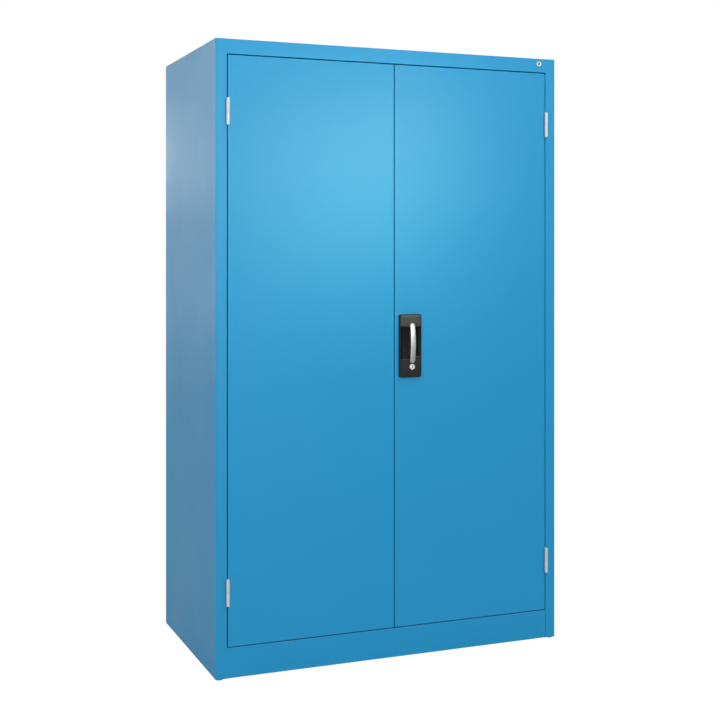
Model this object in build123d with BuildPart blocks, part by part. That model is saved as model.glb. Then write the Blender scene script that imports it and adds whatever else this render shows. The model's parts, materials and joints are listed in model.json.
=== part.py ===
"""Two-door sheet-steel tool cabinet: welded body, slotted uprights with four shelves, lift-off hinges,
a clip-in moulded pull handle, a key-driven rack-and-pinion rod lock and slide bolts on the passive door.

Axes: +X to the viewer's right, +Y to the back, +Z up. Origin: middle of the overall box, on the floor.
"""
from build123d import *
from math import acos, cos, pi, radians, sin, tan
import os

# ---------------------------------------------------------------- driving dimensions (mm)
cabinet_width = 1180.0
cabinet_depth = 650.0            # without handle and hinges
cabinet_height = 1950.0
front_reach = 25.0               # how far the bow stands out of the front face
pad_height = 3.0

body_sheet = 1.5
door_sheet = 1.2
post_width = 35.0
fascia_height = 46.0
plinth_top = 95.5
plinth_recess = 1.0
jamb_depth = 28.0
stop_width = 13.0
rear_return = 20.0
side_foot = 24.0                 # width of the side panel's bottom flange
seam = 0.3                       # open seam between two panels of the front

door_gap = 3.0
door_depth = 25.0
door_return = 18.0
door_edge_radius = 1.2

hinge_heights = (265.0, 1729.0)
hinge_length = 85.0
hinge_radius = 5.3
hinge_reach = 7.0                # axis in front of the front face
hinge_leaf = 1.2
hinge_pin_radius = 3.0
hinge_split = 0.6                # room for a thin washer between the two knuckles

shelf_tops = (460.0, 810.0, 1160.0, 1510.0)
shelf_sheet = 1.2
shelf_drop = 30.0
slot_pitch = 50.0
slot_size = (4.0, 12.0)
upright_width = 30.0
upright_depth = 12.0

housing_size = (75.5, 202.0)
housing_centre = (52.6, 999.5)
housing_reach = 12.0
tub_depth = 11.5                 # part of the housing behind the front face
recess_bottom, recess_top = 957.0, 1060.5
recess_mouth = 35.8              # half the recess's width at the housing's face
recess_floor = (-23.0, 27.5)     # its floor, from the housing's centre line
bow_x = 57.0
bow_bottom, bow_top = 943.5, 1073.0
bow_width = 17.5
lock_x, lock_z = 57.0, 932.0

gear_module = 1.0
pinion_teeth = 18
rod_width, rod_thickness = 12.0, 4.0
rod_setback = 14.0               # rods behind the front face
rod_rest_gap = 1.0               # how deep a drawn-back rod sits inside the door's end

# ---------------------------------------------------------------- worked-out places
half_width = cabinet_width / 2
front = (front_reach - cabinet_depth) / 2
back = front + cabinet_depth
jamb_face = half_width - post_width
opening_top = cabinet_height - fascia_height
floor_top = plinth_top + 14.5
stop_tip = jamb_face - stop_width
door_inner_x = door_gap / 2
door_outer_x = jamb_face - door_gap
door_bottom = plinth_top + door_gap
door_top = opening_top - door_gap
door_middle_x = (door_inner_x + door_outer_x) / 2
door_middle_z = (door_bottom + door_top) / 2
door_width = door_outer_x - door_inner_x
door_height = door_top - door_bottom
hinge_x = jamb_face - door_gap / 2
hinge_y = front - hinge_reach
upright_ys = (front + 75.0, back - 75.0)
upright_face = half_width - body_sheet - upright_depth
slot_drop = 33.0                 # slot centre below the shelf top it serves
pitch_radius = gear_module * pinion_teeth / 2


def facing_front(y):
    """Plane across the cabinet at depth y; its x is +X, its y is +Z and its normal points forward."""
    return Plane(origin=(0, y, 0), x_dir=(1, 0, 0), z_dir=(0, -1, 0))


def save(builder, name):
    """Label a finished piece and write it to its own STEP file."""
    builder.part.label = name
    export_step(builder.part, f"parts/{name}.step")


def save_mirrored(builder, name):
    """Write a piece's mirror image on the cabinet's other side."""
    with BuildPart() as mirrored:
        add(mirror(builder.part, about=Plane.YZ, mode=Mode.PRIVATE))
    save(mirrored, name)


def folded_sheet(plane, inner_face, length, thickness, bend=Kind.ARC):
    """Extrude a sheet folded along its inner face, with the sheet on the line's left."""
    with BuildSketch(plane) as section:
        with BuildLine():
            line = Polyline(*inner_face)
            offset(line, amount=thickness, side=Side.LEFT, kind=bend)
        make_face()
    extrude(section.sketch, amount=length)


os.makedirs("parts", exist_ok=True)

# ---------------------------------------------------------------- side panels
pad_inset = 13.5
body_height = cabinet_height - pad_height
inner_wall = half_width - body_sheet

with BuildPart() as left_side_panel:
    folded_sheet(
        Plane.XY.offset(pad_height),
        [
            (-stop_tip, front + jamb_depth),
            (-jamb_face - body_sheet, front + jamb_depth),
            (-jamb_face - body_sheet, front + body_sheet),
            (-inner_wall, front + body_sheet),
            (-inner_wall, back - body_sheet),
            (-half_width + rear_return, back - body_sheet),
        ],
        body_height,
        body_sheet,
    )
    # the stop flange ends at the door opening, where the fascia's and the plinth's returns take over
    with BuildSketch(facing_front(front + jamb_depth)):
        stop_middle = (stop_tip + jamb_face) / 2
        top_cut = cabinet_height - opening_top + seam
        with Locations((-stop_middle, cabinet_height - top_cut / 2)):
            Rectangle(stop_width, top_cut)
        with Locations((-stop_middle, (plinth_top + seam) / 2)):
            Rectangle(stop_width, plinth_top + seam)
    extrude(amount=body_sheet * 2, mode=Mode.SUBTRACT)
    # the jamb stops under the roof sheet
    with BuildSketch(Plane.XY.offset(cabinet_height)):
        with Locations((-(inner_wall + stop_tip) / 2, front + body_sheet + jamb_depth / 2)):
            Rectangle(inner_wall - stop_tip, jamb_depth)
    extrude(amount=-body_sheet, mode=Mode.SUBTRACT)
    # bottom flange that carries the foot pads
    with BuildSketch(Plane.XY.offset(pad_height)):
        with Locations((-half_width + body_sheet + side_foot / 2, (front + back) / 2)):
            Rectangle(side_foot, cabinet_depth - 2 * body_sheet)
    extrude(amount=body_sheet)
save(left_side_panel, "left_side_panel")
save_mirrored(left_side_panel, "right_side_panel")

# ---------------------------------------------------------------- lock rods and bolts, for doors and frame
upper_rod_x = lock_x - pitch_radius - 1.25 * gear_module - rod_width / 2
lower_rod_x = lock_x + pitch_radius + 1.25 * gear_module + rod_width / 2
rod_y = front + rod_setback + rod_thickness / 2
bolt_size = 8.0                  # square section
bolt_x = -41.0
bolt_y = front + 13.0


def rod_slot(x, y, clearance):
    """Slot for a flat rod, drawn on a horizontal plane."""
    with Locations((x, y)):
        Rectangle(rod_width + 2 * clearance, rod_thickness + 2 * clearance)


def bolt_hole(clearance):
    """Hole for a square bolt, drawn on a horizontal plane."""
    with Locations((bolt_x, bolt_y)):
        Rectangle(bolt_size + 2 * clearance, bolt_size + 2 * clearance)


# ---------------------------------------------------------------- top panel with fascia
panel_span = jamb_face - seam
keeper_clearance = 1.5
top_flange = 25.0

with BuildPart() as top_panel:
    # fascia, return over the doors and the lip that the doors stop against
    folded_sheet(
        Plane.YZ.offset(-panel_span),
        [
            (back - 2 * body_sheet - top_flange, cabinet_height - body_sheet),
            (front + body_sheet, cabinet_height - body_sheet),
            (front + body_sheet, opening_top + body_sheet),
            (front + jamb_depth, opening_top + body_sheet),
            (front + jamb_depth, opening_top - stop_width),
        ][::-1],
        2 * panel_span,
        body_sheet,
    )
    # roof sheet with its two side flanges and the rear flange
    roof_front = front + body_sheet
    roof_depth = back - 2 * body_sheet - roof_front
    with BuildSketch(Plane.XY.offset(cabinet_height)):
        with Locations((0, roof_front + roof_depth / 2)):
            Rectangle(2 * inner_wall, roof_depth)
    extrude(amount=-body_sheet)
    with BuildSketch(Plane.XY.offset(cabinet_height)):
        with Locations((0, back - 2 * body_sheet - body_sheet / 2)):
            Rectangle(2 * inner_wall, body_sheet)
        with Locations((-inner_wall + body_sheet / 2, 0), (inner_wall - body_sheet / 2, 0)):
            Rectangle(body_sheet, roof_depth - 2 * top_flange)
    extrude(amount=-top_flange)
    # the lip stays clear of the side panels' stop flanges
    with BuildSketch(facing_front(front + jamb_depth)):
        lip_middle = opening_top - stop_width / 2
        for side in (-1, 1):
            with Locations((side * (stop_tip + jamb_face) / 2, lip_middle)):
                Rectangle(stop_width + 2 * seam, stop_width)
    extrude(amount=body_sheet, mode=Mode.SUBTRACT)
    # keepers for the rod and the bolt
    with BuildSketch(Plane.XY.offset(opening_top)):
        rod_slot(upper_rod_x, rod_y, keeper_clearance)
        bolt_hole(keeper_clearance)
    extrude(amount=body_sheet, mode=Mode.SUBTRACT)
save(top_panel, "top_panel")

# ---------------------------------------------------------------- plinth panel
plinth_face = front + plinth_recess
plinth_foot = 16.0

with BuildPart() as plinth_panel:
    folded_sheet(
        Plane.YZ.offset(-panel_span),
        [
            (plinth_face + plinth_foot, pad_height + body_sheet),
            (plinth_face + body_sheet, pad_height + body_sheet),
            (plinth_face + body_sheet, plinth_top - body_sheet),
            (front + jamb_depth, plinth_top - body_sheet),
            (front + jamb_depth, floor_top),
        ],
        2 * panel_span,
        body_sheet,
    )
    with BuildSketch(facing_front(front + jamb_depth)):
        for side in (-1, 1):
            with Locations((side * (stop_tip + jamb_face) / 2, (plinth_top + floor_top) / 2)):
                Rectangle(stop_width + 2 * seam, floor_top - plinth_top)
    extrude(amount=body_sheet, mode=Mode.SUBTRACT)
    with BuildSketch(Plane.XY.offset(plinth_top)):
        rod_slot(lower_rod_x, rod_y, keeper_clearance)
        bolt_hole(keeper_clearance)
    extrude(amount=-body_sheet, mode=Mode.SUBTRACT)
save(plinth_panel, "plinth_panel")

# ---------------------------------------------------------------- floor pan
floor_drop = 35.0
floor_front = front + jamb_depth
floor_back = back - 2 * body_sheet

with BuildPart() as floor_pan:
    with BuildSketch(Plane.XY.offset(floor_top)):
        with Locations((0, (floor_front + floor_back) / 2)):
            Rectangle(2 * inner_wall, floor_back - floor_front)
    extrude(amount=-floor_drop)
    offset(
        amount=-body_sheet, openings=floor_pan.faces().sort_by(Axis.Z)[0], kind=Kind.INTERSECTION
    )
    # tabs that close the hollow of the two front posts
    tab_width = inner_wall - jamb_face - body_sheet
    tab_depth = jamb_depth - body_sheet
    with BuildSketch(Plane.XY.offset(floor_top)):
        with Locations(*[
            (side * (inner_wall - tab_width / 2), floor_front - tab_depth / 2) for side in (-1, 1)
        ]):
            Rectangle(tab_width, tab_depth)
    extrude(amount=-body_sheet)
save(floor_pan, "floor_pan")

# ---------------------------------------------------------------- back panel
bead_xs = (-290.0, 290.0)
bead_half = 12.0
bead_slope = 8.0
bead_height = 1.4
wall_hole_x, wall_hole_z = 450.0, 1880.0
wall_hole_radius = 4.5

with BuildPart() as back_panel:
    sheet_face = back - 2 * body_sheet
    bead_line = [(-inner_wall, sheet_face)]
    for bead_x in bead_xs:
        bead_line += [
            (bead_x - bead_half - bead_slope, sheet_face),
            (bead_x - bead_half, sheet_face + bead_height),
            (bead_x + bead_half, sheet_face + bead_height),
            (bead_x + bead_half + bead_slope, sheet_face),
        ]
    bead_line.append((inner_wall, sheet_face))
    folded_sheet(
        Plane.XY.offset(pad_height + body_sheet), bead_line, body_height - body_sheet, body_sheet
    )
    with BuildSketch(facing_front(back)):
        with Locations((-wall_hole_x, wall_hole_z), (wall_hole_x, wall_hole_z)):
            Circle(wall_hole_radius)
    extrude(amount=4 * body_sheet, mode=Mode.SUBTRACT)
save(back_panel, "back_panel")

# ---------------------------------------------------------------- slotted uprights
upright_bottom = floor_top
upright_top = opening_top - 15.0
slots_below_shelf = 4            # under the lowest shelf's own slots
slot_count = 31
first_slot = shelf_tops[0] - slot_drop - slots_below_shelf * slot_pitch


def slotted_upright(middle_y):
    """Channel on the left wall with a row of shelf slots in its face."""
    leg = upright_width / 2 - body_sheet
    with BuildPart() as upright:
        folded_sheet(
            Plane.XY.offset(upright_bottom),
            [
                (-inner_wall, middle_y + leg),
                (-upright_face - body_sheet, middle_y + leg),
                (-upright_face - body_sheet, middle_y - leg),
                (-inner_wall, middle_y - leg),
            ],
            upright_top - upright_bottom,
            body_sheet,
            Kind.INTERSECTION,
        )
        row_middle = first_slot + (slot_count - 1) * slot_pitch / 2
        with BuildSketch(Plane.YZ.offset(-upright_face)):
            with Locations((middle_y, row_middle)):
                with GridLocations(0, slot_pitch, 1, slot_count):
                    Rectangle(*slot_size)
        extrude(amount=-body_sheet, mode=Mode.SUBTRACT)
    return upright


for place, middle_y in zip(("front", "rear"), upright_ys):
    upright = slotted_upright(middle_y)
    save(upright, f"left_{place}_upright")
    save_mirrored(upright, f"right_{place}_upright")

# ---------------------------------------------------------------- shelves and their clips
shelf_front = front + 42.0
shelf_back = back - 12.0
shelf_half = upright_face - 1.5
shelf_hem = 12.0
end_drop = 25.0
clip_width = 22.0
clip_reach = 16.0
clip_thickness = 2.0
clip_height = 22.0
hook_width = 3.4
hook_seat = 14.0                 # below the ledge's top
hook_height = 3.5
hook_drop = 6.0


def shelf(top):
    """Tray shelf: hemmed front and rear edges and plain end flanges."""
    under = top - shelf_sheet
    hem = top - shelf_drop + shelf_sheet
    with BuildPart() as tray:
        folded_sheet(
            Plane.YZ.offset(-shelf_half),
            [
                (shelf_front + shelf_sheet + shelf_hem, hem),
                (shelf_front + shelf_sheet, hem),
                (shelf_front + shelf_sheet, under),
                (shelf_back - shelf_sheet, under),
                (shelf_back - shelf_sheet, hem),
                (shelf_back - shelf_sheet - shelf_hem, hem),
            ],
            2 * shelf_half,
            shelf_sheet,
            Kind.INTERSECTION,
        )
        with BuildSketch(Plane.XY.offset(top - shelf_sheet / 2)):
            for side in (-1, 1):
                with Locations((side * (shelf_half - shelf_sheet / 2), (shelf_front + shelf_back) / 2)):
                    Rectangle(shelf_sheet, shelf_back - shelf_front - 2 * shelf_sheet)
        extrude(amount=shelf_sheet / 2 - end_drop)
    return tray


def shelf_clips(top):
    """Four hooked brackets, one in each upright, with the shelf's end flanges on their ledges."""
    ledge = [
        (0, 0),
        (clip_reach, 0),
        (clip_reach, -clip_thickness),
        (clip_thickness, -clip_thickness),
        (clip_thickness, -clip_height),
        (0, -clip_height),
    ]
    hook_back = -body_sheet - clip_thickness
    hook = [
        (0, -hook_seat + hook_height),
        (hook_back, -hook_seat + hook_height),
        (hook_back, -hook_seat - hook_drop),
        (-body_sheet, -hook_seat - hook_drop),
        (-body_sheet, -hook_seat),
        (0, -hook_seat),
    ]
    with BuildPart() as clips:
        for side in (-1, 1):
            for middle_y in upright_ys:
                seat = (side * upright_face, middle_y, top - end_drop)
                plane = Plane(origin=seat, x_dir=(-side, 0, 0), z_dir=(0, side, 0))
                for outline, width in ((ledge, clip_width), (hook, hook_width)):
                    with BuildSketch(plane):
                        with BuildLine():
                            Polyline(*outline, close=True)
                        make_face()
                    extrude(amount=width / 2, both=True)
    return clips


for number, top in enumerate(shelf_tops, start=1):
    save(shelf(top), f"shelf_{number}")
    save(shelf_clips(top), f"shelf_clips_{number}")

# ---------------------------------------------------------------- foot pads
pad_radius = 12.0

with BuildPart() as foot_pads:
    with BuildSketch(Plane.XY):
        with Locations((0, (front + back) / 2)):
            with GridLocations(cabinet_width - 2 * pad_inset, cabinet_depth - 2 * pad_inset, 2, 2):
                Circle(pad_radius)
    extrude(amount=pad_height)
save(foot_pads, "foot_pads")

# ---------------------------------------------------------------- round cap on the fascia
cap_spot = (half_width - 60.0, cabinet_height - 17.5)
cap_radius = 8.5
cap_thickness = 1.6
cap_dish_depth = 0.7

with BuildPart() as fascia_cap:
    with BuildSketch(facing_front(front)):
        with Locations(cap_spot):
            Circle(cap_radius)
    extrude(amount=cap_thickness)
    with BuildSketch(facing_front(front - cap_thickness)):
        with Locations(cap_spot):
            Circle(cap_radius / 2)
    extrude(amount=-cap_dish_depth, mode=Mode.SUBTRACT)
save(fascia_cap, "fascia_cap")

# ---------------------------------------------------------------- rubber door buffers
buffer_size = (12.0, 8.0)
buffer_xs = (-500.0, -14.0, 14.0, 500.0)
buffer_gap = 0.2

with BuildPart() as door_buffers:
    with BuildSketch(facing_front(front + jamb_depth - body_sheet)):
        for height in (opening_top - stop_width / 2, (plinth_top + floor_top) / 2):
            with Locations(*[(x, height) for x in buffer_xs]):
                Rectangle(*buffer_size)
    extrude(amount=jamb_depth - body_sheet - door_depth - buffer_gap)
save(door_buffers, "door_buffers")

# ---------------------------------------------------------------- lift-off hinges
pin_running_gap = 0.06
pin_end_gap = 1.0
pin_stand = 34.0                 # pin above the lower knuckle
pin_seat = 20.0                  # pin pressed into the lower knuckle
leaf_depth = 31.0                # from the hinge axis to the leaf's rear edge


def hinge_half(side, inward, bottom, top, bore_radius, bore_depth):
    """Knuckle bored from the joint's end, with a leaf that runs back through the door gap.

    inward is +1 for the upper half, on the door, and -1 for the lower half, on the frame.
    """
    axis_x = side * hinge_x
    leaf_face = axis_x - side * inward * door_gap / 2
    leaf_middle = leaf_face + side * inward * hinge_leaf / 2
    with BuildPart() as half:
        with BuildSketch(Plane.XY.offset(bottom)):
            with Locations((axis_x, hinge_y)):
                Circle(hinge_radius)
            with Locations((leaf_middle, hinge_y + leaf_depth / 2)):
                Rectangle(hinge_leaf, leaf_depth)
        extrude(amount=top - bottom)
        with BuildSketch(Plane.XY.offset(bottom if inward > 0 else top)):
            with Locations((axis_x, hinge_y)):
                Circle(bore_radius)
        extrude(amount=inward * bore_depth, mode=Mode.SUBTRACT)
    return half


def hinge_pin(side, joint):
    """Plain pin, its foot in the frame's knuckle and its tip in the door's."""
    with BuildPart() as pin:
        with BuildSketch(Plane.XY.offset(joint - pin_seat)):
            with Locations((side * hinge_x, hinge_y)):
                Circle(hinge_pin_radius)
        extrude(amount=pin_seat + pin_stand)
    return pin


for side, side_name in ((-1, "left"), (1, "right")):
    for height, height_name in zip(hinge_heights, ("lower", "upper")):
        name = f"{side_name}_{height_name}_hinge"
        frame_top = height - hinge_split / 2
        door_foot = height + hinge_split / 2
        frame_half = hinge_half(
            side, -1, height - hinge_length / 2, frame_top, hinge_pin_radius, pin_seat
        )
        door_half = hinge_half(
            side, 1, door_foot, height + hinge_length / 2,
            hinge_pin_radius + pin_running_gap, pin_stand - hinge_split + pin_end_gap,
        )
        save(frame_half, f"{name}_frame_half")
        save(door_half, f"{name}_door_half")
        save(hinge_pin(side, frame_top), f"{name}_pin")

# ---------------------------------------------------------------- door pans
tub_left, tub_right = -30.0, 32.5     # housing's tub from the housing's centre line
tub_bottom, tub_top = 904.0, 1092.0
tub_middle_x = housing_centre[0] + (tub_left + tub_right) / 2
tub_middle_z = (tub_bottom + tub_top) / 2
cut_out_gap = 0.5
rod_pass_gap = 0.8


def door_pan(side):
    """Open-backed pan with return lips, its front face flush with the posts."""
    with BuildPart() as pan:
        with BuildSketch(facing_front(front)):
            with Locations((side * door_middle_x, door_middle_z)):
                Rectangle(door_width, door_height)
        extrude(amount=-door_depth)
        fillet(pan.faces().sort_by(Axis.Y)[0].edges(), radius=door_edge_radius)
        with BuildSketch(facing_front(front + door_sheet)):
            with Locations((side * door_middle_x, door_middle_z)):
                Rectangle(door_width - 2 * door_sheet, door_height - 2 * door_sheet)
        extrude(amount=2 * door_sheet - door_depth, mode=Mode.SUBTRACT)
        with BuildSketch(facing_front(front + door_depth)):
            with Locations((side * door_middle_x, door_middle_z)):
                Rectangle(door_width - 2 * door_return, door_height - 2 * door_return)
        extrude(amount=door_sheet, mode=Mode.SUBTRACT)
    return pan


def door_stiffener(side):
    """Upright hat section welded to the inside of the door's face."""
    middle = side * door_middle_x
    foot, crown, height = 32.0, 20.0, 20.0
    end_gap = 4.0
    skin = front + door_sheet
    with BuildPart() as hat:
        folded_sheet(
            Plane.XY.offset(door_bottom + end_gap),
            [
                (middle - foot, skin),
                (middle - crown, skin),
                (middle - crown, skin + height),
                (middle + crown, skin + height),
                (middle + crown, skin),
                (middle + foot, skin),
            ],
            door_height - 2 * end_gap,
            door_sheet,
        )
    return hat


with BuildPart() as left_door_skin:
    add(door_pan(-1).part)
    for level in (door_bottom, door_top - door_sheet):
        with BuildSketch(Plane.XY.offset(level)):
            bolt_hole(rod_pass_gap)
        extrude(amount=door_sheet, mode=Mode.SUBTRACT)
save(left_door_skin, "left_door_skin")

with BuildPart() as right_door_skin:
    add(door_pan(1).part)
    for level, rod_x in ((door_bottom, lower_rod_x), (door_top - door_sheet, upper_rod_x)):
        with BuildSketch(Plane.XY.offset(level)):
            rod_slot(rod_x, rod_y, rod_pass_gap)
        extrude(amount=door_sheet, mode=Mode.SUBTRACT)
    with BuildSketch(facing_front(front)):
        with Locations((tub_middle_x, tub_middle_z)):
            Rectangle(tub_right - tub_left + 2 * cut_out_gap, tub_top - tub_bottom + 2 * cut_out_gap)
    extrude(amount=-door_sheet, mode=Mode.SUBTRACT)
save(right_door_skin, "right_door_skin")

save(door_stiffener(-1), "left_door_stiffener")
save(door_stiffener(1), "right_door_stiffener")

# ---------------------------------------------------------------- passive door's slide bolts
bolt_length = 190.0
knob_from_tip = 100.0
knob_radius = 5.5
knob_length = 18.0
bolt_running_gap = 0.08
tab_spread = 100.0
tab_margin = 4.5
bracket_width = 26.0
bracket_offset = 100.0


def slide_bolt(tip, direction):
    """Square bolt with a chamfered nose and a round knob; direction is +1 when it slides up."""
    knob_plane = Plane(
        origin=(bolt_x, bolt_y + bolt_size / 2, tip - direction * knob_from_tip),
        x_dir=(1, 0, 0),
        z_dir=(0, 1, 0),
    )
    with BuildPart() as bolt:
        with BuildSketch(Plane.XY.offset(tip)):
            with Locations((bolt_x, bolt_y)):
                Rectangle(bolt_size, bolt_size)
        extrude(amount=-direction * bolt_length)
        chamfer(bolt.faces().sort_by(Axis.Z)[-1 if direction > 0 else 0].edges(), length=1.5)
        with BuildSketch(knob_plane):
            Circle(knob_radius)
        extrude(amount=knob_length)
    return bolt


def bolt_bracket(middle):
    """Bent bracket on the door's face with two tabs that guide the bolt."""
    base = front + 2 * door_sheet
    tab_depth = bolt_y + bolt_size / 2 + tab_margin
    with BuildPart() as bracket:
        folded_sheet(
            Plane.YZ.offset(bolt_x - bracket_width / 2),
            [
                (tab_depth, middle + tab_spread / 2 - door_sheet),
                (base, middle + tab_spread / 2 - door_sheet),
                (base, middle - tab_spread / 2 + door_sheet),
                (tab_depth, middle - tab_spread / 2 + door_sheet),
            ],
            bracket_width,
            door_sheet,
        )
        with BuildSketch(Plane.XY.offset(middle)):
            bolt_hole(bolt_running_gap)
        extrude(amount=tab_spread, both=True, mode=Mode.SUBTRACT)
    return bracket


save(slide_bolt(door_top - rod_rest_gap, 1), "left_top_bolt")
save(slide_bolt(door_bottom + rod_rest_gap, -1), "left_bottom_bolt")
save(bolt_bracket(door_top - bracket_offset), "left_top_bolt_bracket")
save(bolt_bracket(door_bottom + bracket_offset), "left_bottom_bolt_bracket")

# ---------------------------------------------------------------- moulded handle housing
housing_x = housing_centre[0]
housing_corner = 6.0
housing_edge = 1.2
tub_back = front + tub_depth
recess_depth = 21.0
recess_step = 8.0                # the recess starts higher right of the bow
barrel_radius = 8.2
barrel_flats = 14.2              # across the two flats that keep the barrel from turning
barb_heights = (925.0, 1072.0)
barb_width, barb_reach, barb_length = 10.0, 1.6, 6.0
bow_lug = (9.0, 6.0)
bow_lug_length = 8.0
bow_foot = 11.0
bow_lug_spots = [(bow_x, bow_bottom + bow_foot / 2), (bow_x, bow_top - bow_foot / 2)]
lug_boss_width = 14.0
pocket_wall = 3.0
pocket_ribs = (-12.0, 20.0)
rib_thickness = 2.2
case_screw_offset = 22.0
case_screw_spots = [(lock_x, lock_z - case_screw_offset), (lock_x, lock_z + case_screw_offset)]
case_screw_radius = 1.5
case_screw_grip = 8.0


def barrel_outline():
    """Round barrel with two upright flats, as a sketch in the current plane."""
    with Locations((lock_x, lock_z)):
        Circle(barrel_radius)
        Rectangle(barrel_flats, 2 * barrel_radius, mode=Mode.INTERSECT)


def recess_section():
    """Scooped section seen from above: a sloping left wall, a deep round corner and a steep right wall."""
    opening = front - housing_reach
    FilletPolyline(
        (housing_x - recess_mouth, opening),
        (housing_x + recess_floor[0], opening + recess_depth),
        (housing_x + recess_floor[1], opening + recess_depth),
        (housing_x + recess_mouth, opening),
        radius=[13.0, 6.0],
    )
    Line((housing_x - recess_mouth, opening), (housing_x + recess_mouth, opening))


with BuildPart() as handle_housing:
    with BuildSketch(facing_front(front)):
        with Locations(housing_centre):
            RectangleRounded(*housing_size, radius=housing_corner)
    extrude(amount=housing_reach)
    chamfer(handle_housing.faces().sort_by(Axis.Y)[0].edges(), length=housing_edge)
    with BuildSketch(facing_front(front)):
        with Locations((tub_middle_x, tub_middle_z)):
            Rectangle(tub_right - tub_left, tub_top - tub_bottom)
    extrude(amount=-tub_depth)
    # grip recess, longer on its left side
    with BuildSketch(Plane.XY.offset(recess_bottom + recess_step)):
        with BuildLine():
            recess_section()
        make_face()
    extrude(amount=recess_top - recess_bottom - recess_step, mode=Mode.SUBTRACT)
    with BuildSketch(Plane.XY.offset(recess_bottom)):
        with BuildLine():
            recess_section()
        make_face()
        with Locations((bow_x + housing_size[0] / 2, front)):
            Rectangle(housing_size[0], 4 * recess_depth, mode=Mode.SUBTRACT)
    extrude(amount=recess_step, mode=Mode.SUBTRACT)
    # hollow of the upper block, open to the rear, with ribs and a boss for the bow's lug
    pocket_height = tub_top - recess_top - 2 * pocket_wall
    with BuildSketch(facing_front(tub_back)):
        with Locations((tub_middle_x, (recess_top + tub_top) / 2)):
            Rectangle(tub_right - tub_left - 2 * pocket_wall, pocket_height)
        with Locations(*[(housing_x + rib_x, (recess_top + tub_top) / 2) for rib_x in pocket_ribs]):
            Rectangle(rib_thickness, pocket_height, mode=Mode.SUBTRACT)
        with Locations((bow_x, (recess_top + tub_top) / 2)):
            Rectangle(lug_boss_width, pocket_height, mode=Mode.SUBTRACT)
    extrude(amount=tub_depth + housing_reach - pocket_wall, mode=Mode.SUBTRACT)
    # sockets for the bow's lugs
    with BuildSketch(facing_front(front - housing_reach)):
        with Locations(*bow_lug_spots):
            Rectangle(*bow_lug)
    extrude(amount=-bow_lug_length, mode=Mode.SUBTRACT)
    # the lock's bore and blind holes for its case screws
    with BuildSketch(facing_front(tub_back)):
        barrel_outline()
    extrude(amount=tub_depth + housing_reach, mode=Mode.SUBTRACT)
    with BuildSketch(facing_front(tub_back)):
        with Locations(*case_screw_spots):
            Circle(case_screw_radius)
    extrude(amount=case_screw_grip, mode=Mode.SUBTRACT)
    # barbs that snap in behind the door's sheet
    for height in barb_heights:
        with BuildSketch(Plane.XY.offset(height)):
            for wall, outward in ((housing_x + tub_left, -1), (housing_x + tub_right, 1)):
                with BuildLine():
                    Polyline(
                        (wall, front + door_sheet),
                        (wall + outward * barb_reach, front + door_sheet),
                        (wall, front + door_sheet + barb_length),
                        close=True,
                    )
                make_face()
        extrude(amount=barb_width / 2, both=True)
save(handle_housing, "handle_housing")

# ---------------------------------------------------------------- bow
bow_seat = front - housing_reach
bow_end_thickness = 4.0
bow_middle_thickness = 7.5
bow_middle = (bow_bottom + bow_top) / 2
bow_crown = front - front_reach
bow_edge = 1.5

with BuildPart() as bow_handle:
    with BuildSketch(Plane.YZ.offset(bow_x - bow_width / 2)):
        with BuildLine():
            ThreePointArc(
                (bow_seat - bow_end_thickness, bow_bottom),
                (bow_crown, bow_middle),
                (bow_seat - bow_end_thickness, bow_top),
            )
            Polyline(
                (bow_seat - bow_end_thickness, bow_top), (bow_seat, bow_top), (bow_seat, bow_top - bow_foot)
            )
            ThreePointArc(
                (bow_seat, bow_top - bow_foot),
                (bow_crown + bow_middle_thickness, bow_middle),
                (bow_seat, bow_bottom + bow_foot),
            )
            Polyline(
                (bow_seat, bow_bottom + bow_foot),
                (bow_seat, bow_bottom),
                (bow_seat - bow_end_thickness, bow_bottom),
            )
        make_face()
    extrude(amount=bow_width)
    with BuildSketch(facing_front(front)):
        with Locations((bow_x, bow_middle)):
            SlotOverall(bow_top - bow_bottom, bow_width, rotation=90)
    extrude(amount=front_reach, mode=Mode.INTERSECT)
    chamfer(bow_handle.faces().sort_by(Axis.Y)[0].edges(), length=bow_edge)
    with BuildSketch(facing_front(bow_seat)):
        with Locations(*bow_lug_spots):
            Rectangle(*bow_lug)
    extrude(amount=-bow_lug_length)
save(bow_handle, "bow_handle")

# ---------------------------------------------------------------- lock barrel, plug and case
plug_radius = 6.0
plug_running_gap = 0.06
barrel_flange = 8.9
barrel_flange_height = 2.0
plug_proud = 0.2
key_slot = (1.8, 8.0)
key_slot_depth = 14.0
case_size = (52.0, 62.0)
case_sheet = 1.5
case_plate_face = tub_back + case_sheet
case_back = rod_y + rod_thickness / 2 + 1.0
cover_thickness = 1.2
cover_tab = 8.0
cover_tab_stand = 0.8
square_drive = 6.0
journal_radius = 2.5

with BuildPart() as lock_barrel:
    with BuildSketch(facing_front(tub_back)):
        barrel_outline()
    extrude(amount=tub_depth + housing_reach)
    with BuildSketch(facing_front(bow_seat)):
        with Locations((lock_x, lock_z)):
            Circle(barrel_flange)
    extrude(amount=barrel_flange_height)
    with BuildSketch(facing_front(tub_back)):
        with Locations((lock_x, lock_z)):
            Circle(plug_radius + plug_running_gap)
    extrude(amount=tub_depth + housing_reach + barrel_flange_height, mode=Mode.SUBTRACT)
save(lock_barrel, "lock_barrel")

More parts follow.
